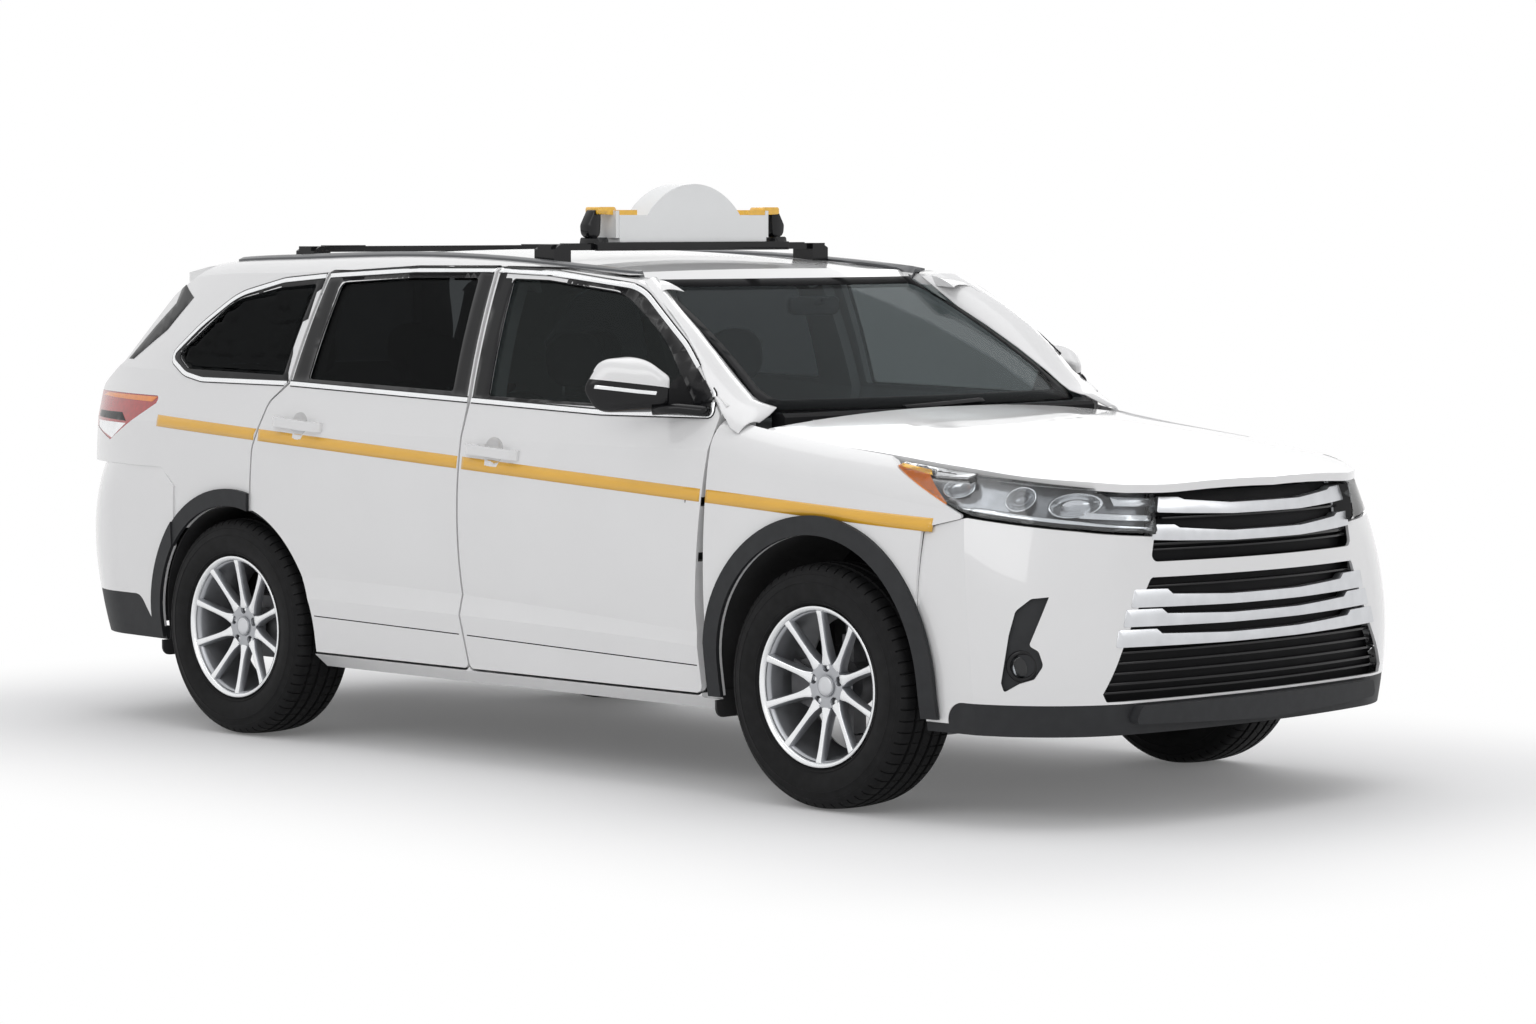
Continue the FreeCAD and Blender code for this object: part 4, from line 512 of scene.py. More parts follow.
def tube(name, points, radius, finish, body, around=10):
    """Round bar along a line of points in space."""
    points = [Vector(p) for p in points]
    verts = []
    for i, p in enumerate(points):
        ahead = (points[min(i + 1, len(points) - 1)] - points[max(i - 1, 0)]).normalized()
        side = ahead.cross(Vector((0, 0, 1)) if abs(ahead.z) < 0.9 else Vector((1, 0, 0))).normalized()
        up = side.cross(ahead)
        for k in range(around):
            angle = 2 * math.pi * k / around
            verts.append(p + (side * math.cos(angle) + up * math.sin(angle)) * radius)
    shell(name, verts, strips(len(points), around) + caps(len(points), around), finish, body, 0)


# ---------------------------------------------------------------- strips and surrounds of the side
SURROUND = {                  # black frames round the glass: outline and window of each (x, z, corner radius)
    "front_door": (
        [(0.955, 1.173, 0.012), (0.950, 1.228, 0.02), (0.785, 1.374, 0.35), (0.523, 1.548, 0.26),
         (0.1, 1.590), (-0.137, 1.598, 0.012), (-0.123, 1.188, 0.006)],
        [(0.902, 1.181, 0.018), (0.689, 1.398, 0.38), (0.465, 1.532, 0.3), (0.1, 1.569),
         (-0.065, 1.572, 0.014), (-0.047, 1.199, 0.010)],
    ),
    "rear_door": (
        [(-0.150, 1.190, 0.006), (-0.166, 1.598, 0.010), (-0.560, 1.594), (-1.001, 1.571, 0.015),
         (-1.044, 1.219, 0.006)],
        [(-0.222, 1.209, 0.010), (-0.232, 1.575, 0.014), (-0.560, 1.572), (-0.928, 1.551, 0.030),
         (-0.963, 1.230, 0.010)],
    ),
    "side_frame": (
        [(-1.060, 1.220, 0.006), (-1.022, 1.571, 0.010), (-1.242, 1.552, 0.30), (-1.464, 1.501, 0.30),
         (-1.623, 1.396, 0.4), (-1.757, 1.286, 0.022), (-1.646, 1.236, 0.15), (-1.545, 1.219, 0.2)],
        [(-1.097, 1.239, 0.010), (-1.057, 1.547, 0.012), (-1.240, 1.533, 0.2), (-1.478, 1.485, 0.25),
         (-1.725, 1.292, 0.022), (-1.640, 1.248, 0.06)],
    ),
}
CHROME_LINE = [               # runs right round the side glass
    (0.487, 1.163), (0.959, 1.167, 0.012), (0.955, 1.231, 0.02), (0.788, 1.379, 0.35), (0.525, 1.552, 0.26),
    (0.1, 1.594), (-0.144, 1.602), (-0.56, 1.598), (-1.011, 1.575), (-1.243, 1.557, 0.30),
    (-1.466, 1.506, 0.30), (-1.626, 1.400, 0.4), (-1.765, 1.286, 0.024), (-1.648, 1.231, 0.15),
    (-1.545, 1.214, 0.2), (-1.058, 1.213), (-0.127, 1.183),
]
CHROME_W = 0.014
STRIPE = [(-1.776, 1.065), (1.925, 0.8757)]
STRIPE_W = 0.040
# path of a line of painted shade along the moulding seam: a thin matt black ribbon stands in for its shadow
SEAM_SHADE = [(-0.90, 0.436), (-0.158, 0.424), (0.943, 0.400), (1.0, 0.3985)]
ROOF_STRIP = [(-1.62, 0.652), (-1.506, 0.660), (0.183, 0.670), (0.36, 0.655), (0.45, 0.632)]
WINDOW_CORNER = [(0.700, 1.180), (0.905, 1.180, 0.010), (0.800, 1.320, 0.05)]  # wedge that carries the mirror
WINGLET = [                   # black blade between the spoiler and the quarter
    (-1.870, 1.545), (-1.745, 1.492), (-1.850, 1.378), (-2.035, 1.272), (-2.075, 1.272), (-1.960, 1.385),
    (-1.862, 1.470),
]
DARK_MARGIN = 0.008           # how much wider than the bright line the dark line under it is


def side_trim():
    """Black window surrounds, bright line, yellow stripe, painted seam shade and roof strip, both sides."""
    line = rounded(CHROME_LINE) + [Vector(CHROME_LINE[0][:2])]

    def stripe(tag, skin, body):
        ribbon(f"stripe_{tag}", skin, STRIPE, STRIPE_W, 0.0007, 0.002, "stripe", body, 0.012, round_by=0)

    for side, way in SIDES.items():
        for part, (outer, window) in SURROUND.items():
            node = f"{part}_{side}"
            body = "body" if part == "side_frame" else node
            skin = Skin(side, node)
            overlay(f"surround_{node}", skin, rounded(outer), [rounded(window)], 0.0012, 0.003, "gloss", body)
            ribbon(f"dark_line_{node}", skin, line, CHROME_W + DARK_MARGIN, 0.0014, 0.002, "gloss", body)
            ribbon(f"bright_line_{node}", skin, line, CHROME_W, 0.0030, 0.001, "chrome", body, crown=0.0015)
            stripe(node, skin, body)
            # thin matt black ribbon: painted shade of the moulding seam
            ribbon(f"seam_{node}", skin, SEAM_SHADE, 0.0035, 0.0003, 0.002, "matt", body, 0.02, round_by=0)
        for node in ("fenders", "front_bumper"):
            stripe(f"{node}_{side}", Skin(side, node), "body")
        overlay(f"quarter_film_{side}", Skin(side, "fixed_glass"), rounded(SURROUND["side_frame"][1]), (),
                0.0008, -0.0002, "privacy", "body", 0.04, 0)
        overlay(f"window_corner_{side}", Skin(side, f"front_window_{side}"), rounded(WINDOW_CORNER), (),
                0.0008, 0.001, "matt", f"front_door_{side}", 0.03, 0)
        overlay(f"winglet_{side}", Skin(side, f"side_frame_{side}", "tailgate"), rounded(WINGLET), (), 0.0015,
                0.002, "gloss", "body")
        ribbon(f"roof_strip_{side}", Skin("top", f"side_frame_{side}", "roof_panel"),
               [(x, y * way) for x, y in ROOF_STRIP], 0.040, 0.007, 0.004, "strip", "body", 0.03, crown=0.006)


# ---------------------------------------------------------------- wheels
AXLE = {"front": (1.460, 0.8175), "rear": (-1.330, 0.823)}     # x, half track
AXLE_Z = 0.372
SPOKES = 10
NUTS = 5
HUB_R = 0.076
RIM_LIP = [                   # radius, distance out from the middle plane
    (0.2255, 0.094), (0.2275, 0.103), (0.232, 0.1095), (0.238, 0.1125), (0.2425, 0.1115), (0.2435, 0.106),
    (0.240, 0.100), (0.230, 0.092),
]
RIM_BARREL = [
    (0.2255, 0.096), (0.222, 0.078), (0.215, 0.060), (0.212, 0.020), (0.205, -0.060), (0.222, -0.096),
    (0.236, -0.104), (0.236, -0.098), (0.226, -0.088), (0.214, -0.056), (0.221, 0.020), (0.226, 0.060),
    (0.232, 0.092),
]
SPOKE = [                     # radius, half width of the face, distance out of the face, depth
    (0.062, 0.0190, 0.070, 0.030), (0.078, 0.0150, 0.0725, 0.031), (0.092, 0.0112, 0.0755, 0.031),
    (0.115, 0.0086, 0.080, 0.030), (0.150, 0.0080, 0.087, 0.027), (0.185, 0.0085, 0.094, 0.024),
    (0.212, 0.0095, 0.1000, 0.021), (0.229, 0.0112, 0.1045, 0.018),
]
TYRE_HALF = [                 # radius, distance from the middle plane, from bead to tread edge
    (0.2440, 0.1030), (0.2480, 0.1085), (0.2520, 0.1128), (0.2535, 0.1168), (0.2560, 0.1178), (0.2580, 0.1160),
    (0.2620, 0.1175), (0.2700, 0.1198), (0.2850, 0.1228), (0.2990, 0.1240), (0.3130, 0.1236), (0.3145, 0.1248),
    (0.3160, 0.1232), (0.3270, 0.1212), (0.3370, 0.1182), (0.3385, 0.1192), (0.3420, 0.1172), (0.3500, 0.1125),
    (0.3560, 0.1080), (0.3610, 0.1025), (0.3645, 0.0960), (0.3670, 0.0860),
]
TREAD_R = 0.3718
GROOVES = [0.062, 0.022]      # distance of the round grooves' middles from the middle plane
GROOVE_HALF = 0.0048
GROOVE_DEEP = 0.008
PITCHES = 64                  # tread blocks round the tyre
PITCH_STEPS = [(0.0, 1), (0.085, 1), (0.12, 0), (0.55, 0), (0.965, 0)]  # part of a pitch, 1 in a groove
CROSS_DEEP = 0.0055           # depth of the cross grooves
SHOULDER_R = 0.351            # radius from which the cross grooves cut
TREAD_HALF = 0.086            # half width of the tread
TREAD_DROP = 0.0045           # how much lower than its middle the tread's edge is
GROOVE_BEVEL = 0.0016
BLOCK_SLANT = 1.4             # pitches that a cross groove leans by, for each metre across


def tyre_section():
    """(radius, distance, how much a cross groove cuts here) over the whole tyre, bead to bead."""
    left = [(r, a, 1.0 if r > SHOULDER_R else 0.0) for r, a in TYRE_HALF]
    for middle in GROOVES:
        cut = 0.6 if middle > 0.03 else 0.25
        for a, deep in ((middle + GROOVE_HALF + GROOVE_BEVEL, 0), (middle + GROOVE_HALF, GROOVE_DEEP),
                        (middle - GROOVE_HALF, GROOVE_DEEP), (middle - GROOVE_HALF - GROOVE_BEVEL, 0)):
            left.append((TREAD_R - TREAD_DROP * (a / TREAD_HALF) ** 2 - deep, a, cut))
    return left + [(r, -a, c) for r, a, c in reversed(left)]


def wheel_place(end, side):
    x, y = AXLE[end]
    way = SIDES[side]

    def place(r, angle, a):
        return Vector((x + r * math.cos(angle) * way, way * (y + a), AXLE_Z + r * math.sin(angle)))
    return place


def tyre(end, side):
    place = wheel_place(end, side)
    section = tyre_section()
    verts = []
    for pitch in range(PITCHES):
        for part, cut in PITCH_STEPS:
            for r, a, groove in section:
                lean = 0.5 if a < 0 else 0.0
                angle = 2 * math.pi * (pitch + part + lean + BLOCK_SLANT * abs(a)) / PITCHES
                verts.append(place(r - cut * groove * CROSS_DEEP, angle, a))
    faces = strips(PITCHES * len(PITCH_STEPS), len(section), True)
    obj = shell(f"tread_{end}_{side}", verts, faces, "rubber", f"wheel_{end}_{side}", 0)
    sharp = obj.modifiers.new("sharp", "EDGE_SPLIT")
    sharp.split_angle = math.radians(38)
    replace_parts(obj, f"tyre_{end}_{side}")


def spoke_mesh(place, turn):
    """Verts and faces of one spoke: flat bright face with bevelled sides that widen towards the back."""
    verts = []
    for r, half, face, deep in SPOKE:
        edge = [(half + 0.006, face - deep), (half + 0.0026, face - 0.009), (half, face - 0.0014),
                (half * 0.55, face)]
        for across, a in [(-across, a) for across, a in edge] + edge[::-1]:
            verts.append(place(math.hypot(r, across), turn + math.atan2(across, r), a))
    return verts, strips(len(SPOKE), 8) + caps(len(SPOKE), 8)


def disc(name, place, centre, radius, a0, a1, finish, body, steps, round_by=0.001, dome=0.0):
    """Round plug whose face lies at a1, centred on (radius, angle) of the wheel."""
    r0, angle0 = centre
    cx, cy = r0 * math.cos(angle0), r0 * math.sin(angle0)
    rings = [(radius, a0), (radius, a1), (radius * 0.72, a1 + dome * 0.6), (radius * 0.4, a1 + dome * 0.9)]
    verts = []
    for r, a in rings:
        for k in range(steps):
            u, v = cx + r * math.cos(2 * math.pi * k / steps), cy + r * math.sin(2 * math.pi * k / steps)
            verts.append(place(math.hypot(u, v), math.atan2(v, u), a))
    shell(name, verts, strips(len(rings), steps) + caps(len(rings), steps), finish, body, round_by)


TOP = math.pi / 2             # angle of the first spoke and nut
NUT_RING = 0.057              # radius of the circle of nuts
POCKET_R = 0.0145
HUB_WAVE = 0.004              # by how much the hub's edge swells into each spoke
ALONG_OUT = 0.80              # a face that looks this much outwards is machined bright


def wheel(end, side):
    place = wheel_place(end, side)
    tag = f"{end}_{side}"
    body = f"wheel_{tag}"
    lathe(f"rim_lip_{tag}", RIM_LIP, 96, place, "bright", body, 0.0006)
    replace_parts(lathe(f"rim_barrel_{tag}", RIM_BARREL, 96, place, "alloy", body, 0), body)
    verts, faces = [], []
    for k in range(SPOKES):
        v, f = spoke_mesh(place, TOP + 2 * math.pi * k / SPOKES)
        faces += [tuple(len(verts) + i for i in face) for face in f]
        verts += v
    spokes = shell(f"spokes_{tag}", verts, faces, "alloy", body, 0.0008)
    spokes.data.materials.append(MAT["bright"])
    for polygon in spokes.data.polygons:
        if polygon.normal.y * SIDES[side] > ALONG_OUT:
            polygon.material_index = 1
    nuts = [TOP + 2 * math.pi * k / NUTS for k in range(NUTS)]
    pockets = [[Vector((NUT_RING * math.cos(t) + POCKET_R * math.cos(q),
                        NUT_RING * math.sin(t) + POCKET_R * math.sin(q)))
                        for q in (2 * math.pi * j / 20 for j in range(20))] for t in nuts]
    edge = []
    for k in range(120):
        t = 2 * math.pi * k / 120
        r = HUB_R - HUB_WAVE + HUB_WAVE * math.cos(SPOKES * (t - TOP))
        edge.append(Vector((r * math.cos(t), r * math.sin(t))))

    def hub_front(p):
        return place(p.length, math.atan2(p.y, p.x), 0.0705 - 0.010 * max(0.0, 1 - p.length / 0.045))

    def hub_back(p):
        return place(p.length, math.atan2(p.y, p.x), 0.036)

    plate(f"hub_{tag}", edge, hub_front, hub_back, "alloy", body, 0.0012, pockets, 0.008)
    disc(f"hub_floor_{tag}", place, (0, 0), 0.073, 0.030, 0.040, "alloy", body, 48)
    for k, t in enumerate(nuts):
        disc(f"wheel_nut_{tag}_{k}", place, (NUT_RING, t), 0.0098, 0.034, 0.060, "bright", body, 6, 0.0014,
             0.002)
    disc(f"cap_ring_{tag}", place, (0, 0), 0.033, 0.050, 0.0735, "lamp_grey", body, 48, 0.0012)
    disc(f"cap_{tag}", place, (0, 0), 0.0285, 0.060, 0.0745, "satin", body, 48, 0.0012, 0.003)


CALIPER = [                   # outline (distance from the axle along, up, corner radius)
    (0.095, -0.085, 0.012), (0.165, -0.06, 0.03), (0.165, 0.06, 0.03), (0.095, 0.085, 0.012),
    (0.075, 0.05, 0.03), (0.075, -0.05, 0.03),
]


def caliper(end, side):
    """Brake caliper, behind the front axle on the knuckle or ahead of the rear one on the body."""
    x, y = AXLE[end]
    way = SIDES[side]
    towards, body = (-1, f"knuckle_{side}") if end == "front" else (1, "body")
    plate(f"caliper_{end}_{side}", rounded(CALIPER),
          lambda p: Vector((x + towards * p.x, way * (y + 0.022), AXLE_Z + p.y)),
          lambda p: Vector((x + towards * p.x, way * (y - 0.012), AXLE_Z + p.y)), "steel", body, 0.004,
          cell=0.02)


# ---------------------------------------------------------------- front: grille and lamps
NOSE = [                      # height, x at the middle, then x and y where the front arc ends
    (0.270, 2.410, 2.360, 0.560), (0.480, 2.420, 2.365, 0.600), (0.700, 2.430, 2.345, 0.590),
    (0.900, 2.430, 2.352, 0.500), (1.050, 2.400, 2.330, 0.440),
]


def nose_x(y, z):
    """How far forward the nose reaches at a half width and height."""
    for low, high in zip(NOSE, NOSE[1:]):
        if z <= high[0] or high is NOSE[-1]:
            t = (z - low[0]) / (high[0] - low[0])
            middle, edge_x, edge_y = (low[k] + t * (high[k] - low[k]) for k in (1, 2, 3))
            return middle - (middle - edge_x) * (y / edge_y) ** 2
    return NOSE[0][1]


GRILLE_BAR = [                # z, drop at the middle, half length, its step, height outboard and inboard
    (0.937, 0.012, 0.426, 0.346, 0.044, 0.032), (0.858, 0.012, 0.452, 0.372, 0.044, 0.029),
    (0.668, 0.006, 0.532, 0.404, 0.052, 0.030), (0.612, 0.006, 0.563, 0.425, 0.050, 0.029),
    (0.554, 0.006, 0.594, 0.446, 0.050, 0.029),
]
BAR_MIDDLE = 0.16             # half length of a bar's middle stretch
GRILLE_SLAT = [               # z, half length, height: dark slats
    (0.897, 0.41, 0.006), (0.822, 0.46, 0.008), (0.806, 0.46, 0.006), (0.700, 0.47, 0.006),
    (0.641, 0.50, 0.006), (0.585, 0.53, 0.006), (0.511, 0.602, 0.007), (0.481, 0.614, 0.007),
    (0.451, 0.624, 0.007), (0.421, 0.634, 0.007), (0.396, 0.640, 0.007),
]
GRILLE_BACK = {               # dark plates behind the bars (y, z, corner radius), left half
    "upper": [(0.466, 0.772, 0.02), (0.426, 0.970)],
    "lower": [(0.636, 0.352, 0.008), (0.656, 0.398), (0.466, 0.725, 0.02)],
}
WHITE_BAND = [(0.470, 0.727, 0.006), (0.452, 0.768, 0.006)]


def both_halves(half):
    """Whole outline from its left half."""
    return half + [(-y, *rest) for y, *rest in reversed(half)]


def nose_piece(name, half, out, back, finish, cell=0.03, round_by=0.001):
    """Piece that follows the nose: left half of its outline (y, z), its face out proud, its back behind."""
    return plate(name, rounded(both_halves(half)), lambda p: Vector((nose_x(p.x, p.y) + out, p.x, p.y)),
                 lambda p: Vector((nose_x(p.x, p.y) - back, p.x, p.y)), finish, "body", round_by, cell=cell)


def grille():
    backs = [nose_piece(f"grille_back_{k}", half, -0.040, 0.046, "matt", 0.05)
             for k, half in GRILLE_BACK.items()]
    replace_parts(backs[0], "grille")
    for n, (z, drop, half, step, tall, thin) in enumerate(GRILLE_BAR):
        low, high = z - tall / 2, z + tall / 2
        bar = [
            (BAR_MIDDLE, low - drop, 0), (step, low - drop * 0.4), (half + 0.012, low, 0.004),
            (half - 0.002, high, 0.004), (step + 0.010, high - 0.002),
            (step - 0.010, high - (tall - thin) * 0.8), (BAR_MIDDLE, high - drop - (tall - thin)),
        ]
        nose_piece(f"grille_bar_{n}", bar, 0.002, 0.030, "satin", 0.03, 0.004)
    for n, (z, half, tall) in enumerate(GRILLE_SLAT):
        nose_piece(f"grille_slat_{n}", [(half, z - tall / 2), (half, z + tall / 2)], -0.014, 0.042, "gloss",
                   0.05)
    nose_piece("grille_white_band", WHITE_BAND, 0.001, 0.03, "paint", 0.03, 0.006)


LAMP = [                      # outline of a headlamp in side view (x, z, corner radius)
    (1.690, 1.060, 0.008), (2.100, 1.012), (2.372, 0.972, 0.015), (2.390, 0.850, 0.010), (2.267, 0.873, 0.2),
    (2.022, 0.907, 0.04), (1.955, 0.933, 0.05),
]
LAMP_MIDDLE = Vector((2.13, 0.95))
LAMP_SHEET = [                # behind the lens: name, depth of face and back, finish, outline (x, z, radius)
    ("amber", 0.0012, 0.020, "amber",
     [(1.706, 1.052, 0.004), (1.838, 1.030, 0.004), (1.956, 0.926, 0.004), (1.930, 0.938)]),
    ("yellow", 0.0004, 0.018, "yellow",
     [(1.712, 1.054, 0.003), (1.842, 1.034, 0.003), (1.856, 1.020), (1.745, 1.040)]),
    ("low_line", 0.004, 0.050, "lamp",
     [(1.985, 0.928), (2.04, 0.917), (2.267, 0.883), (2.372, 0.862), (2.371, 0.871), (2.267, 0.893),
      (2.04, 0.928)]),
    ("bar", 0.010, 0.040, "lamp", [(2.275, 0.918), (2.368, 0.905), (2.368, 0.890), (2.262, 0.902)]),
    ("divider", 0.020, 0.050, "lamp", [(2.300, 0.962), (2.360, 0.955), (2.362, 0.930), (2.312, 0.935)]),
]
LAMP_IN = (-0.62, -0.78)      # inwards for the left lamp
LAMP_ROUND = [                # x, z of the middle, radius along and upright, depth of the bowl and of its rim
    ("turn", 1.960, 0.985, 0.050, 0.030, 0.040, 0.016), ("low", 2.130, 0.956, 0.036, 0.036, 0.030, 0.010),
    ("high", 2.245, 0.938, 0.050, 0.036, 0.045, 0.016),
]
LAMP_STEPS = 32
PROJECTOR = [(0.66, 0.022), (0.60, 0.012), (0.45, 0.005), (0.25, 0.001), (0.0001, 0.0)]  # radius share, depth
TAIL_SHEET = [                # pieces on the red lens: name, lift, finish, outline (x, z)
    ("amber", 0.0008, "amber", [(-1.80, 1.146), (-2.20, 1.150), (-2.26, 1.138), (-1.83, 1.128)]),
    ("band", 0.0010, "gloss", [(-2.03, 1.085), (-2.26, 1.085), (-2.26, 1.062), (-1.99, 1.056)]),
    ("clear", 0.0008, "lamp", [(-1.99, 1.048), (-2.26, 1.050), (-2.26, 1.025), (-2.10, 0.992)]),
]


def headlamp(side):
    skin = Skin(side, "headlamps")
    inwards = Vector((LAMP_IN[0], LAMP_IN[1] * SIDES[side], 0))
    outline = rounded(LAMP)

    def deep(p, depth):
        """Place that lies depth inside the lamp's face; past its edge the face is carried on."""
        spot, found = p, skin.at(p)
        for _ in range(20):
            if found is None:
                spot = spot.lerp(LAMP_MIDDLE, 0.03)
                found = skin.at(spot)
        place = found[0].copy()
        place.x += p.x - spot.x
        place.z += p.y - spot.y
        return place + inwards * depth

    def sheet(name, points, face, back, finish, holes=(), cell=0.02):
        return plate(f"headlamp_{name}_{side}", points, lambda p: deep(p, face), lambda p: deep(p, back),
                     finish, "body", 0.0008, holes, cell)

    def dish(name, x, z, rx, rz, rings, finish):
        turns = [2 * math.pi * k / LAMP_STEPS for k in range(LAMP_STEPS)]
        verts = [deep(Vector((x + rx * f * math.cos(t), z + rz * f * math.sin(t))), depth)
                 for f, depth in rings for t in turns]
        piece(f"headlamp_{name}_{side}", verts, strips(len(rings), LAMP_STEPS), finish, "body", 0)

    housing = sheet("housing", outline, 0.058, 0.066, "lamp_grey")
    inner = [Vector((2.10 + (p.x - 2.10) * 0.965, 0.958 + (p.y - 0.958) * 0.86)) for p in outline]
    sheet("rim", outline, 0.003, 0.060, "gloss", [inner])
    sheet("lens", outline, -0.0004, 0.0016, "lens")
    for name, face, back, finish, points in LAMP_SHEET:
        sheet(name, rounded(points, 0.004), face, back, finish, (), 0.015)
    for name, x, z, rx, rz, bowl, rim in LAMP_ROUND:
        rings = [(1.0, rim), (0.93, rim - 0.004), (0.86, rim + 0.002), (0.70, bowl), (0.3, bowl + 0.010),
                 (0.0001, bowl + 0.012)]
        dish(f"{name}_bowl", x, z, rx, rz, rings, "lamp")
        if name == "low":
            dish("projector", x, z, rx, rz, [(f, rim + depth) for f, depth in PROJECTOR], "lamp_grey")
    return housing


def tail_lamp(side):
    """Darker band, amber strip and clear foot on the red lens."""
    for name, lift, finish, points in TAIL_SHEET:
        overlay(f"tail_lamp_{name}_{side}", Skin(side, "tail_lamps"), rounded(points), (), lift, 0.002,
                finish, "body", 0.02)


# ---------------------------------------------------------------- fog lamps
FOG_AT = (2.193, 0.826, 0.480)
FOG_R = 0.047                 # outside of the ring
FOG_LENS_R = 0.034


def fog_lamp(side):
    """Bright round lamp in a black ring, facing ahead and outwards."""
    way = SIDES[side]
    centre = Vector((FOG_AT[0], FOG_AT[1] * way, FOG_AT[2]))
    look = Vector((1, way, 0)).normalized()
    across = Vector((0, 0, 1)).cross(look)

    def place(r, angle, a):
        return centre + across * (r * math.cos(angle)) + Vector((0, 0, r * math.sin(angle))) + look * a

    rim = [(FOG_LENS_R, -0.020), (FOG_LENS_R, 0.006), (FOG_LENS_R + 0.003, 0.010), (FOG_R - 0.002, 0.008),
           (FOG_R, 0.002), (FOG_R, -0.020)]
    lathe(f"fog_ring_{side}", rim, 40, place, "gloss", "body", 0.0008)
    disc(f"fog_mirror_{side}", place, (0, 0), FOG_LENS_R, -0.020, -0.004, "chrome", "body", 32, 0, -0.003)
    disc(f"fog_bulb_{side}", place, (0, 0), 0.020, -0.016, 0.000, "sign", "body", 20, 0.001, 0.001)
    disc(f"fog_lens_{side}", place, (0, 0), FOG_LENS_R, 0.001, 0.0025, "lens", "body", 32, 0, 0.004)


# ---------------------------------------------------------------- mirrors, wipers, sign
MIRROR_FACE = [               # housing seen from ahead (|y|, z, corner radius)
    (0.930, 1.172, 0.024), (1.070, 1.172, 0.050), (1.1035, 1.245, 0.045), (1.062, 1.334, 0.050),
    (0.977, 1.346, 0.040), (0.928, 1.290, 0.030),
]
MIRROR_MIDDLE = Vector((1.006, 1.258))
MIRROR_INNER = (0.930, 0.745, 0.165)      # |y|, x of the back and depth of the dome at the inner end
MIRROR_TIP = (1.1035, 0.625, 0.030)       # the same at the tip
MIRROR_RINGS = [1.0, 0.985, 0.95, 0.90, 0.82, 0.70, 0.55, 0.38, 0.20, 0.001]
MIRROR_SPLIT = [(0.930, 1.246), (1.104, 1.278)]  # line between white cap and black shell (|y|, z)


def mirror_shape(y):
    """x of the back and depth of the dome at a distance from the middle of the car."""
    part = (y - MIRROR_INNER[0]) / (MIRROR_TIP[0] - MIRROR_INNER[0])
    return [a + (b - a) * part for a, b in zip(MIRROR_INNER[1:], MIRROR_TIP[1:])]


def mirror(side):
    """Swept housing with a white cap on a black shell, a strip of indicator, a glass and a black foot."""
    way = SIDES[side]
    body = f"front_door_{side}"
    outline = divide(ring(rounded(MIRROR_FACE)), 0.012)
    count = len(outline)
    verts = [Vector((mirror_shape(p.x)[0], p.x * way, p.y)) for p in outline]
    for f in MIRROR_RINGS:
        swell = 0.08 + 0.92 * (1 - f ** 3) ** 0.55
        for p in outline:
            q = MIRROR_MIDDLE.lerp(p, f)
            back, depth = mirror_shape(q.x)
            verts.append(Vector((back + depth * swell, q.x * way, q.y)))
    rows = len(MIRROR_RINGS) + 1
    housing = shell(f"mirror_shell_{side}", verts, strips(rows, count) + caps(rows, count)[:1], "paint", body,
                    0)
    (y0, z0), (y1, z1) = MIRROR_SPLIT
    rise = (z1 - z0) / (y1 - y0)
    mesh = bmesh.new()
    mesh.from_mesh(housing.data)
    bmesh.ops.bisect_plane(mesh, geom=mesh.verts[:] + mesh.edges[:] + mesh.faces[:],
                           plane_co=(0, y0 * way, z0), plane_no=(0, -rise * way, 1))
    mesh.to_mesh(housing.data)
    mesh.free()
    housing.data.materials.append(MAT["gloss"])
    for polygon in housing.data.polygons:
        place = polygon.center
        polygon.use_smooth = True
        backwards = place.x < mirror_shape(abs(place.y))[0] + 0.002
        if place.z < z0 + rise * (abs(place.y) - y0) or backwards:
            polygon.material_index = 1
    glass = [MIRROR_MIDDLE.lerp(p, 0.90) for p in outline]
    plate(f"mirror_glass_{side}", glass, lambda p: Vector((mirror_shape(p.x)[0] + 0.002, p.x * way, p.y)),
          lambda p: Vector((mirror_shape(p.x)[0] - 0.0015, p.x * way, p.y)), "lamp", body, 0.0006)
    tree = BVHTree.FromPolygons([v.co for v in housing.data.vertices],
                                [p.vertices for p in housing.data.polygons])
    strip = [(1.088 * way, 1.252), (1.020 * way, 1.239), (0.985 * way, 1.234)]
    ribbon(f"mirror_indicator_{side}", Skin("front", tree=tree), strip, 0.011, 0.0015, 0.002, "lamp", body,
           0.008, round_by=0.0004)
    foot = [(0.800, 0.975 * way, 1.182), (0.868, 0.930 * way, 1.186), (0.930, 0.893 * way, 1.180),
            (0.945, 0.875 * way, 1.178)]
    tube(f"mirror_foot_{side}", foot, 0.017, "gloss", body, 12)
    return housing


def wipers():
    skin = Skin("front", "fixed_glass")
    for name, y0, z0, y1, z1 in (("right", -0.52, 1.165, 0.20, 1.190), ("left", 0.02, 1.165, 0.66, 1.178)):
        path = [(y0 + (y1 - y0) * k / 12, z0 + (z1 - z0) * k / 12) for k in range(13)]
        ribbon(f"wiper_blade_{name}", skin, path, 0.010, 0.016, 0.0, "matt", "body", 0.03)


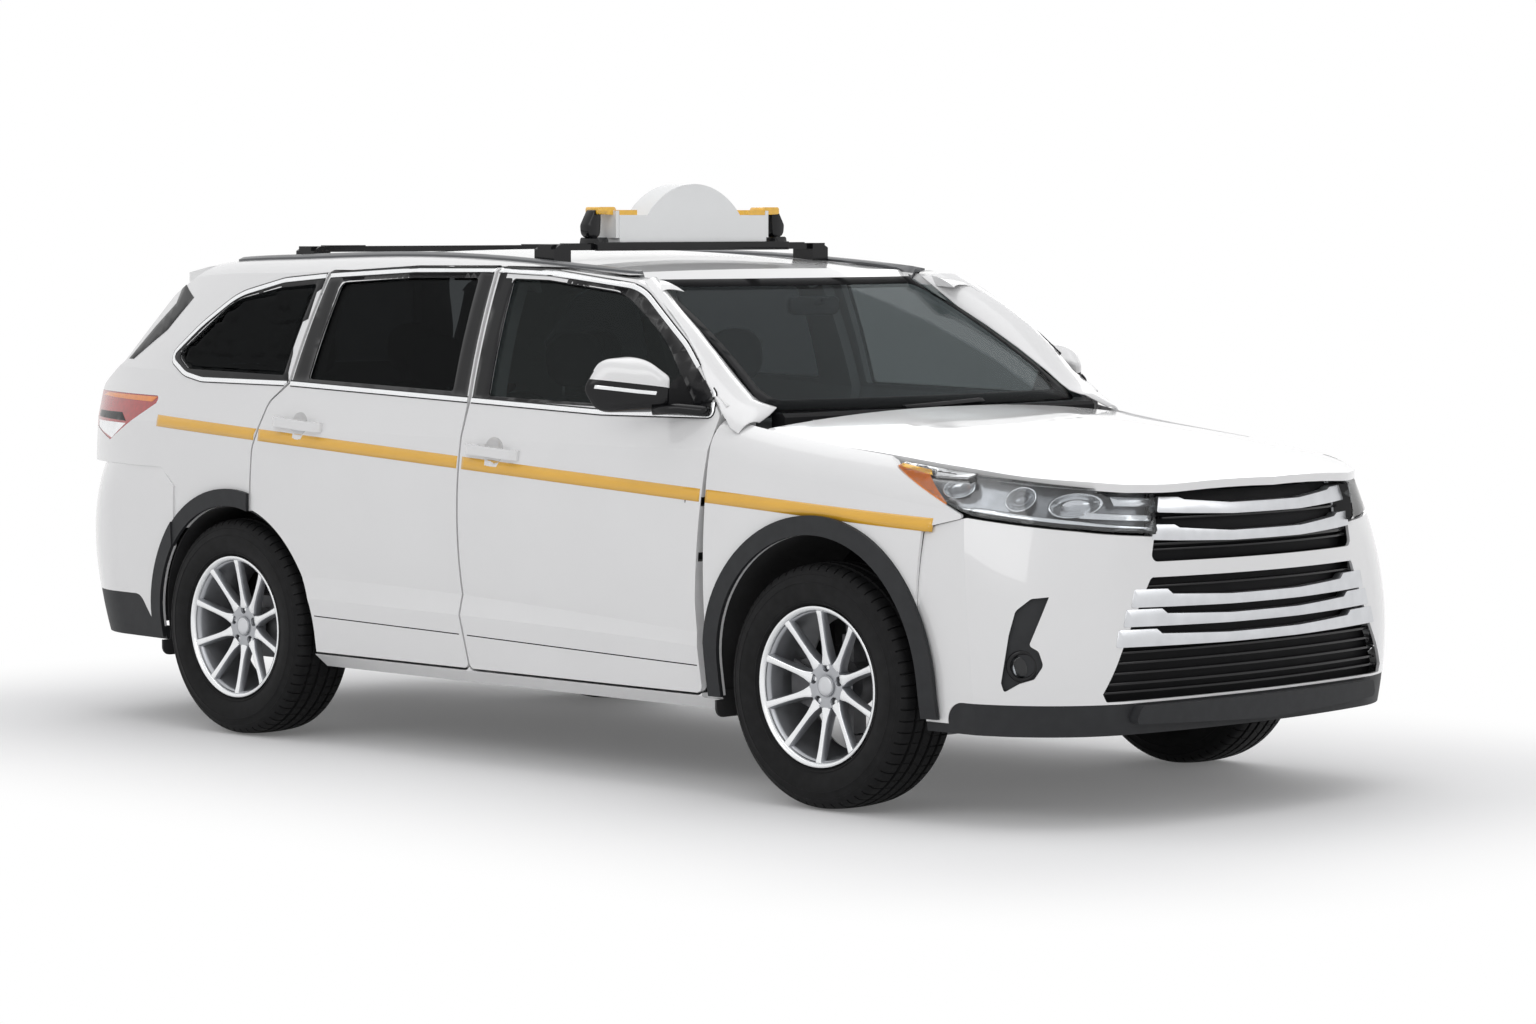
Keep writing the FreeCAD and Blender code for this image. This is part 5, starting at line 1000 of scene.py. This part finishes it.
SIGN_RAIL = [(-0.445, 1.662, 0.004), (0.445, 1.662, 0.004), (0.445, 1.690, 0.004), (-0.445, 1.690, 0.004)]
CLAMP_Y = 0.415
SIGN_END = [                  # at each end of the sign: name, back and front, finish, edges' radius, outline
    ("sign_clamp", (-0.110, -0.030), "gloss", 0.003,
     [(CLAMP_Y - 0.030, 1.678, 0.004), (CLAMP_Y + 0.030, 1.678, 0.004), (CLAMP_Y + 0.024, 1.706, 0.008),
      (CLAMP_Y - 0.024, 1.706, 0.008)]),
    ("sign_bracket", (-0.094, -0.056), "gloss", 0.006,
     [(0.402, 1.704, 0.020), (0.452, 1.706, 0.024), (0.456, 1.746, 0.020), (0.426, 1.796, 0.008),
      (0.398, 1.794, 0.008), (0.398, 1.762, 0.03)]),
    ("sign_lamp", (-0.106, -0.044), "yellow", 0.005,
     [(0.330, 1.779, 0.006), (0.420, 1.782, 0.006), (0.420, 1.806, 0.008), (0.345, 1.806, 0.010)]),
]


def upright(name, outline, x_range, finish, round_by, step=0.006):
    """Plate that stands across the car: outline in (y, z)."""
    low, high = x_range
    plate(name, rounded(outline, step), lambda p: Vector((high, p.x, p.y)), lambda p: Vector((low, p.x, p.y)),
          finish, "body", round_by)


def sign_detail():
    """Black rail under the sign, and the clamp, bracket and lamp at each of its ends."""
    upright("sign_rail", SIGN_RAIL, (-0.037, -0.020), "gloss", 0.002)
    for n, way in enumerate((-1, 1)):
        for name, x_range, finish, round_by, outline in SIGN_END:
            upright(f"{name}_{n}", [(y * way, z, r) for y, z, r in outline], x_range, finish, round_by)


# ---------------------------------------------------------------- seats
STUFFED = 0.12                # how much the middle of a face swells
CELLS = 10                    # cells of a stuffed block along each edge


def cushion(name, middle, size, tilt, power=4.0):
    """Stuffed block: a rounded box whose faces swell, leaning back by tilt degrees about Y."""
    verts, faces, index = [], [], {}
    turn = Matrix.Rotation(math.radians(-tilt), 3, "Y")

    def corner(key):
        if key not in index:
            p = Vector([2 * c / CELLS - 1 for c in key])
            q = p / sum(abs(c) ** power for c in p) ** (1 / power)
            swell = [1 + STUFFED * (1 - q[(a + 1) % 3] ** 2) * (1 - q[(a + 2) % 3] ** 2) for a in range(3)]
            q = Vector([q[a] * swell[a] / (1 + STUFFED) * size[a] / 2 for a in range(3)])
            index[key] = len(verts)
            verts.append(turn @ q + Vector(middle))
        return index[key]

    for axis in range(3):
        for level in (0, CELLS):
            for a in range(CELLS):
                for b in range(CELLS):
                    square = []
                    for da, db in ((0, 0), (1, 0), (1, 1), (0, 1)):
                        cell = [0, 0, 0]
                        cell[axis], cell[(axis + 1) % 3], cell[(axis + 2) % 3] = level, a + da, b + db
                        square.append(corner(tuple(cell)))
                    faces.append(tuple(square))
    obj = shell(name, verts, faces, "cloth", "body", 0)
    smooth = obj.modifiers.new("smooth", "SUBSURF")
    smooth.levels = smooth.render_levels = 1
    return obj


SEAT_ROWS = [                 # CAD node, x, cushion height, top of the head rests, y of the places, width
    ("front_seats", 0.150, 0.600, 1.395, (-0.372, 0.372), 0.500),
    ("rear_seats", -0.560, 0.600, 1.375, (-0.372, 0.0, 0.372), 0.405),
    ("rear_seats", -1.400, 0.740, 1.390, (-0.250, 0.250), 0.490),
]


def seats():
    """Cushion, back and head rest of every place, each stuffed; a middle place has no head rest."""
    for row, (node, x, low, tall, places, width) in enumerate(SEAT_ROWS):
        for n, y in enumerate(places):
            tag = f"{row}_{n}"
            base = cushion(f"seat_cushion_{tag}", (x + 0.010, y, low - 0.080), (0.500, width, 0.170), 3)
            back_tall = tall - 0.190 - low
            cushion(f"seat_back_{tag}", (x - 0.325, y, low + back_tall / 2 - 0.020),
                    (0.120, width * 0.94, back_tall), 5)
            if len(places) == 2 or y:
                cushion(f"head_rest_{tag}", (x - 0.360, y, tall - 0.095), (0.085, 0.245, 0.185), 4, 3.2)
                for side, way in SIDES.items():
                    post = [(x - 0.362, y + way * 0.055, tall - 0.25),
                            (x - 0.360, y + way * 0.055, tall - 0.15)]
                    tube(f"head_rest_post_{tag}_{side[0]}", post, 0.006, "satin", "body", 8)
            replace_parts(base, node)


# ---------------------------------------------------------------- front edge of the cab
def screen_border():
    """Black printed edge of the windscreen."""
    skin = Skin("front", "fixed_glass")
    outer = rounded([(-0.724, 1.172, 0.02), (-0.610, 1.574, 0.03), (0.610, 1.574, 0.03),
                     (0.724, 1.172, 0.02)])
    inner = rounded([(-0.682, 1.208, 0.04), (-0.585, 1.550, 0.05), (0.585, 1.550, 0.05),
                     (0.682, 1.208, 0.04)])
    overlay("screen_border", skin, outer, [inner], 0.0006, 0.002, "matt", "body", 0.04, 0.0)


PILLAR = [                    # front pillar and foot (x, |y|, z): edge on the screen, edge beside the door
    ((0.440, 0.614, 1.572), (0.520, 0.742, 1.572)), ((0.577, 0.644, 1.474), (0.680, 0.778, 1.476)),
    ((0.691, 0.667, 1.410), (0.776, 0.802, 1.408)), ((0.807, 0.692, 1.338), (0.852, 0.826, 1.335)),
    ((0.916, 0.713, 1.264), (0.914, 0.850, 1.262)), ((0.975, 0.719, 1.222), (0.960, 0.864, 1.226)),
    ((1.012, 0.719, 1.202), (0.988, 0.873, 1.204)), ((1.060, 0.712, 1.192), (1.006, 0.882, 1.182)),
    ((1.082, 0.718, 1.188), (1.036, 0.890, 1.158)), ((1.094, 0.760, 1.168), (1.056, 0.893, 1.134)),
    ((1.100, 0.810, 1.146), (1.086, 0.887, 1.118)),
]
PILLAR_COLUMNS = 8
PILLAR_CROWN = 0.016
PILLAR_T = 0.004


PILLAR_TUCK = 0.003           # how far the pillar's inner edge stands off the windscreen


def pillar(side):
    """White front pillar that widens into its foot between the door, the windscreen and the hood."""
    rows = [[Vector((x, y * SIDES[side], z)) for x, y, z in pair] for pair in PILLAR]
    outside, inside_face = [], []
    for i, (inner, outer) in enumerate(rows):
        along = rows[min(i + 1, len(rows) - 1)][0] - rows[max(i - 1, 0)][0]
        out = along.cross(outer - inner).normalized()
        if out.z < 0:
            out = -out
        for k in range(PILLAR_COLUMNS + 1):
            t = k / PILLAR_COLUMNS
            p = inner.lerp(outer, t) + out * (PILLAR_CROWN * 4 * t * (1 - t) + PILLAR_TUCK * (1 - t))
            outside.append(p)
            inside_face.append(p - out * PILLAR_T)
    n = PILLAR_COLUMNS + 1
    count = len(outside)
    last = len(rows) - 1
    faces = [(i * n + k, i * n + k + 1, (i + 1) * n + k + 1, (i + 1) * n + k) for i in range(last)
             for k in range(n - 1)]
    rim = list(range(n)) + [i * n + n - 1 for i in range(1, last + 1)]
    rim += [last * n + k for k in reversed(range(n - 1))] + [i * n for i in reversed(range(1, last))]
    back = [tuple(count + i for i in reversed(face)) for face in faces]
    edge = [(b, a, count + a, count + b) for a, b in ring(rim)]
    shell(f"front_pillar_{side}", outside + inside_face, faces + back + edge, "paint", "body")


def rear_view_mirror():
    outline = [(-0.110, 1.455, 0.02), (0.110, 1.455, 0.02), (0.115, 1.515, 0.02), (-0.115, 1.515, 0.02)]
    upright("rear_view_mirror", outline, (0.522, 0.545), "trim", 0.006, 0.012)
    tube("rear_view_mirror_arm", [(0.540, 0, 1.490), (0.580, 0, 1.500)], 0.010, "trim", "body")


# ---------------------------------------------------------------- floor and assembly
FLOOR_HALF = 60.0
FADE = (0.15, 1.50)           # distance from the car's outline over which the floor turns white
FLOOR_LIFT = 0.12             # share of white in the floor right beside the car


def floor_material():
    """Pale floor that keeps the car's shadow and turns into the white backdrop away from it."""
    m = material("floor", (0.88, 0.88, 0.88), 0.8, grain=(40, 0.02, 0.001), tint=(0.7, 0.01))
    graph = Graph(m)
    low, high = CAD_BOX
    middle = [(a + b) / 2 for a, b in zip(low, high)]
    half = [(high[0] - low[0]) / 2, (high[1] - low[1]) / 2, 5.0]
    chain = graph.add("NewGeometry").outputs["Position"]
    for operation, value in (("SUBTRACT", {1: middle}), ("ABSOLUTE", {}), ("SUBTRACT", {1: half}),
                             ("MAXIMUM", {1: (0, 0, 0)})):
        chain = graph.add("VectorMath", {0: chain, **value}, operation=operation).outputs[0]
    length = graph.add("VectorMath", {0: chain}, operation="LENGTH")
    fade = graph.add("MapRange", {"Value": length.outputs["Value"], "From Min": FADE[0], "From Max": FADE[1],
                                  "To Min": FLOOR_LIFT}, interpolation_type="SMOOTHSTEP")
    share = graph.add("Math", {0: fade.outputs[0], 1: graph.seen_directly()}, operation="MULTIPLY")
    graph.end("Material Output", share.outputs[0], graph.nodes["Principled BSDF"], graph.add("Emission"))
    return m


def floor():
    data = bpy.data.meshes.new("floor")
    half = FLOOR_HALF
    data.from_pydata([(-half, -half, 0), (half, -half, 0), (half, half, 0), (-half, half, 0)], [],
                     [(0, 1, 2, 3)])
    data.materials.append(floor_material())
    add_object("floor", data)


light_scene()
floor()
for node_name, node in NODES.items():
    key = finish_of(node_name)
    node.data.materials.clear()
    node.data.materials.append(MAT[key])
    soften(node, 0.0012)
side_trim()
for end in AXLE:
    for side in SIDES:
        tyre(end, side)
        wheel(end, side)
        caliper(end, side)
grille()
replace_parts(headlamp("left"), "headlamps")
headlamp("right")
seats()
screen_border()
rear_view_mirror()
for side in SIDES:
    pillar(side)
    fog_lamp(side)
    tail_lamp(side)
    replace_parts(mirror(side), f"mirror_{side}")
wipers()
sign_detail()
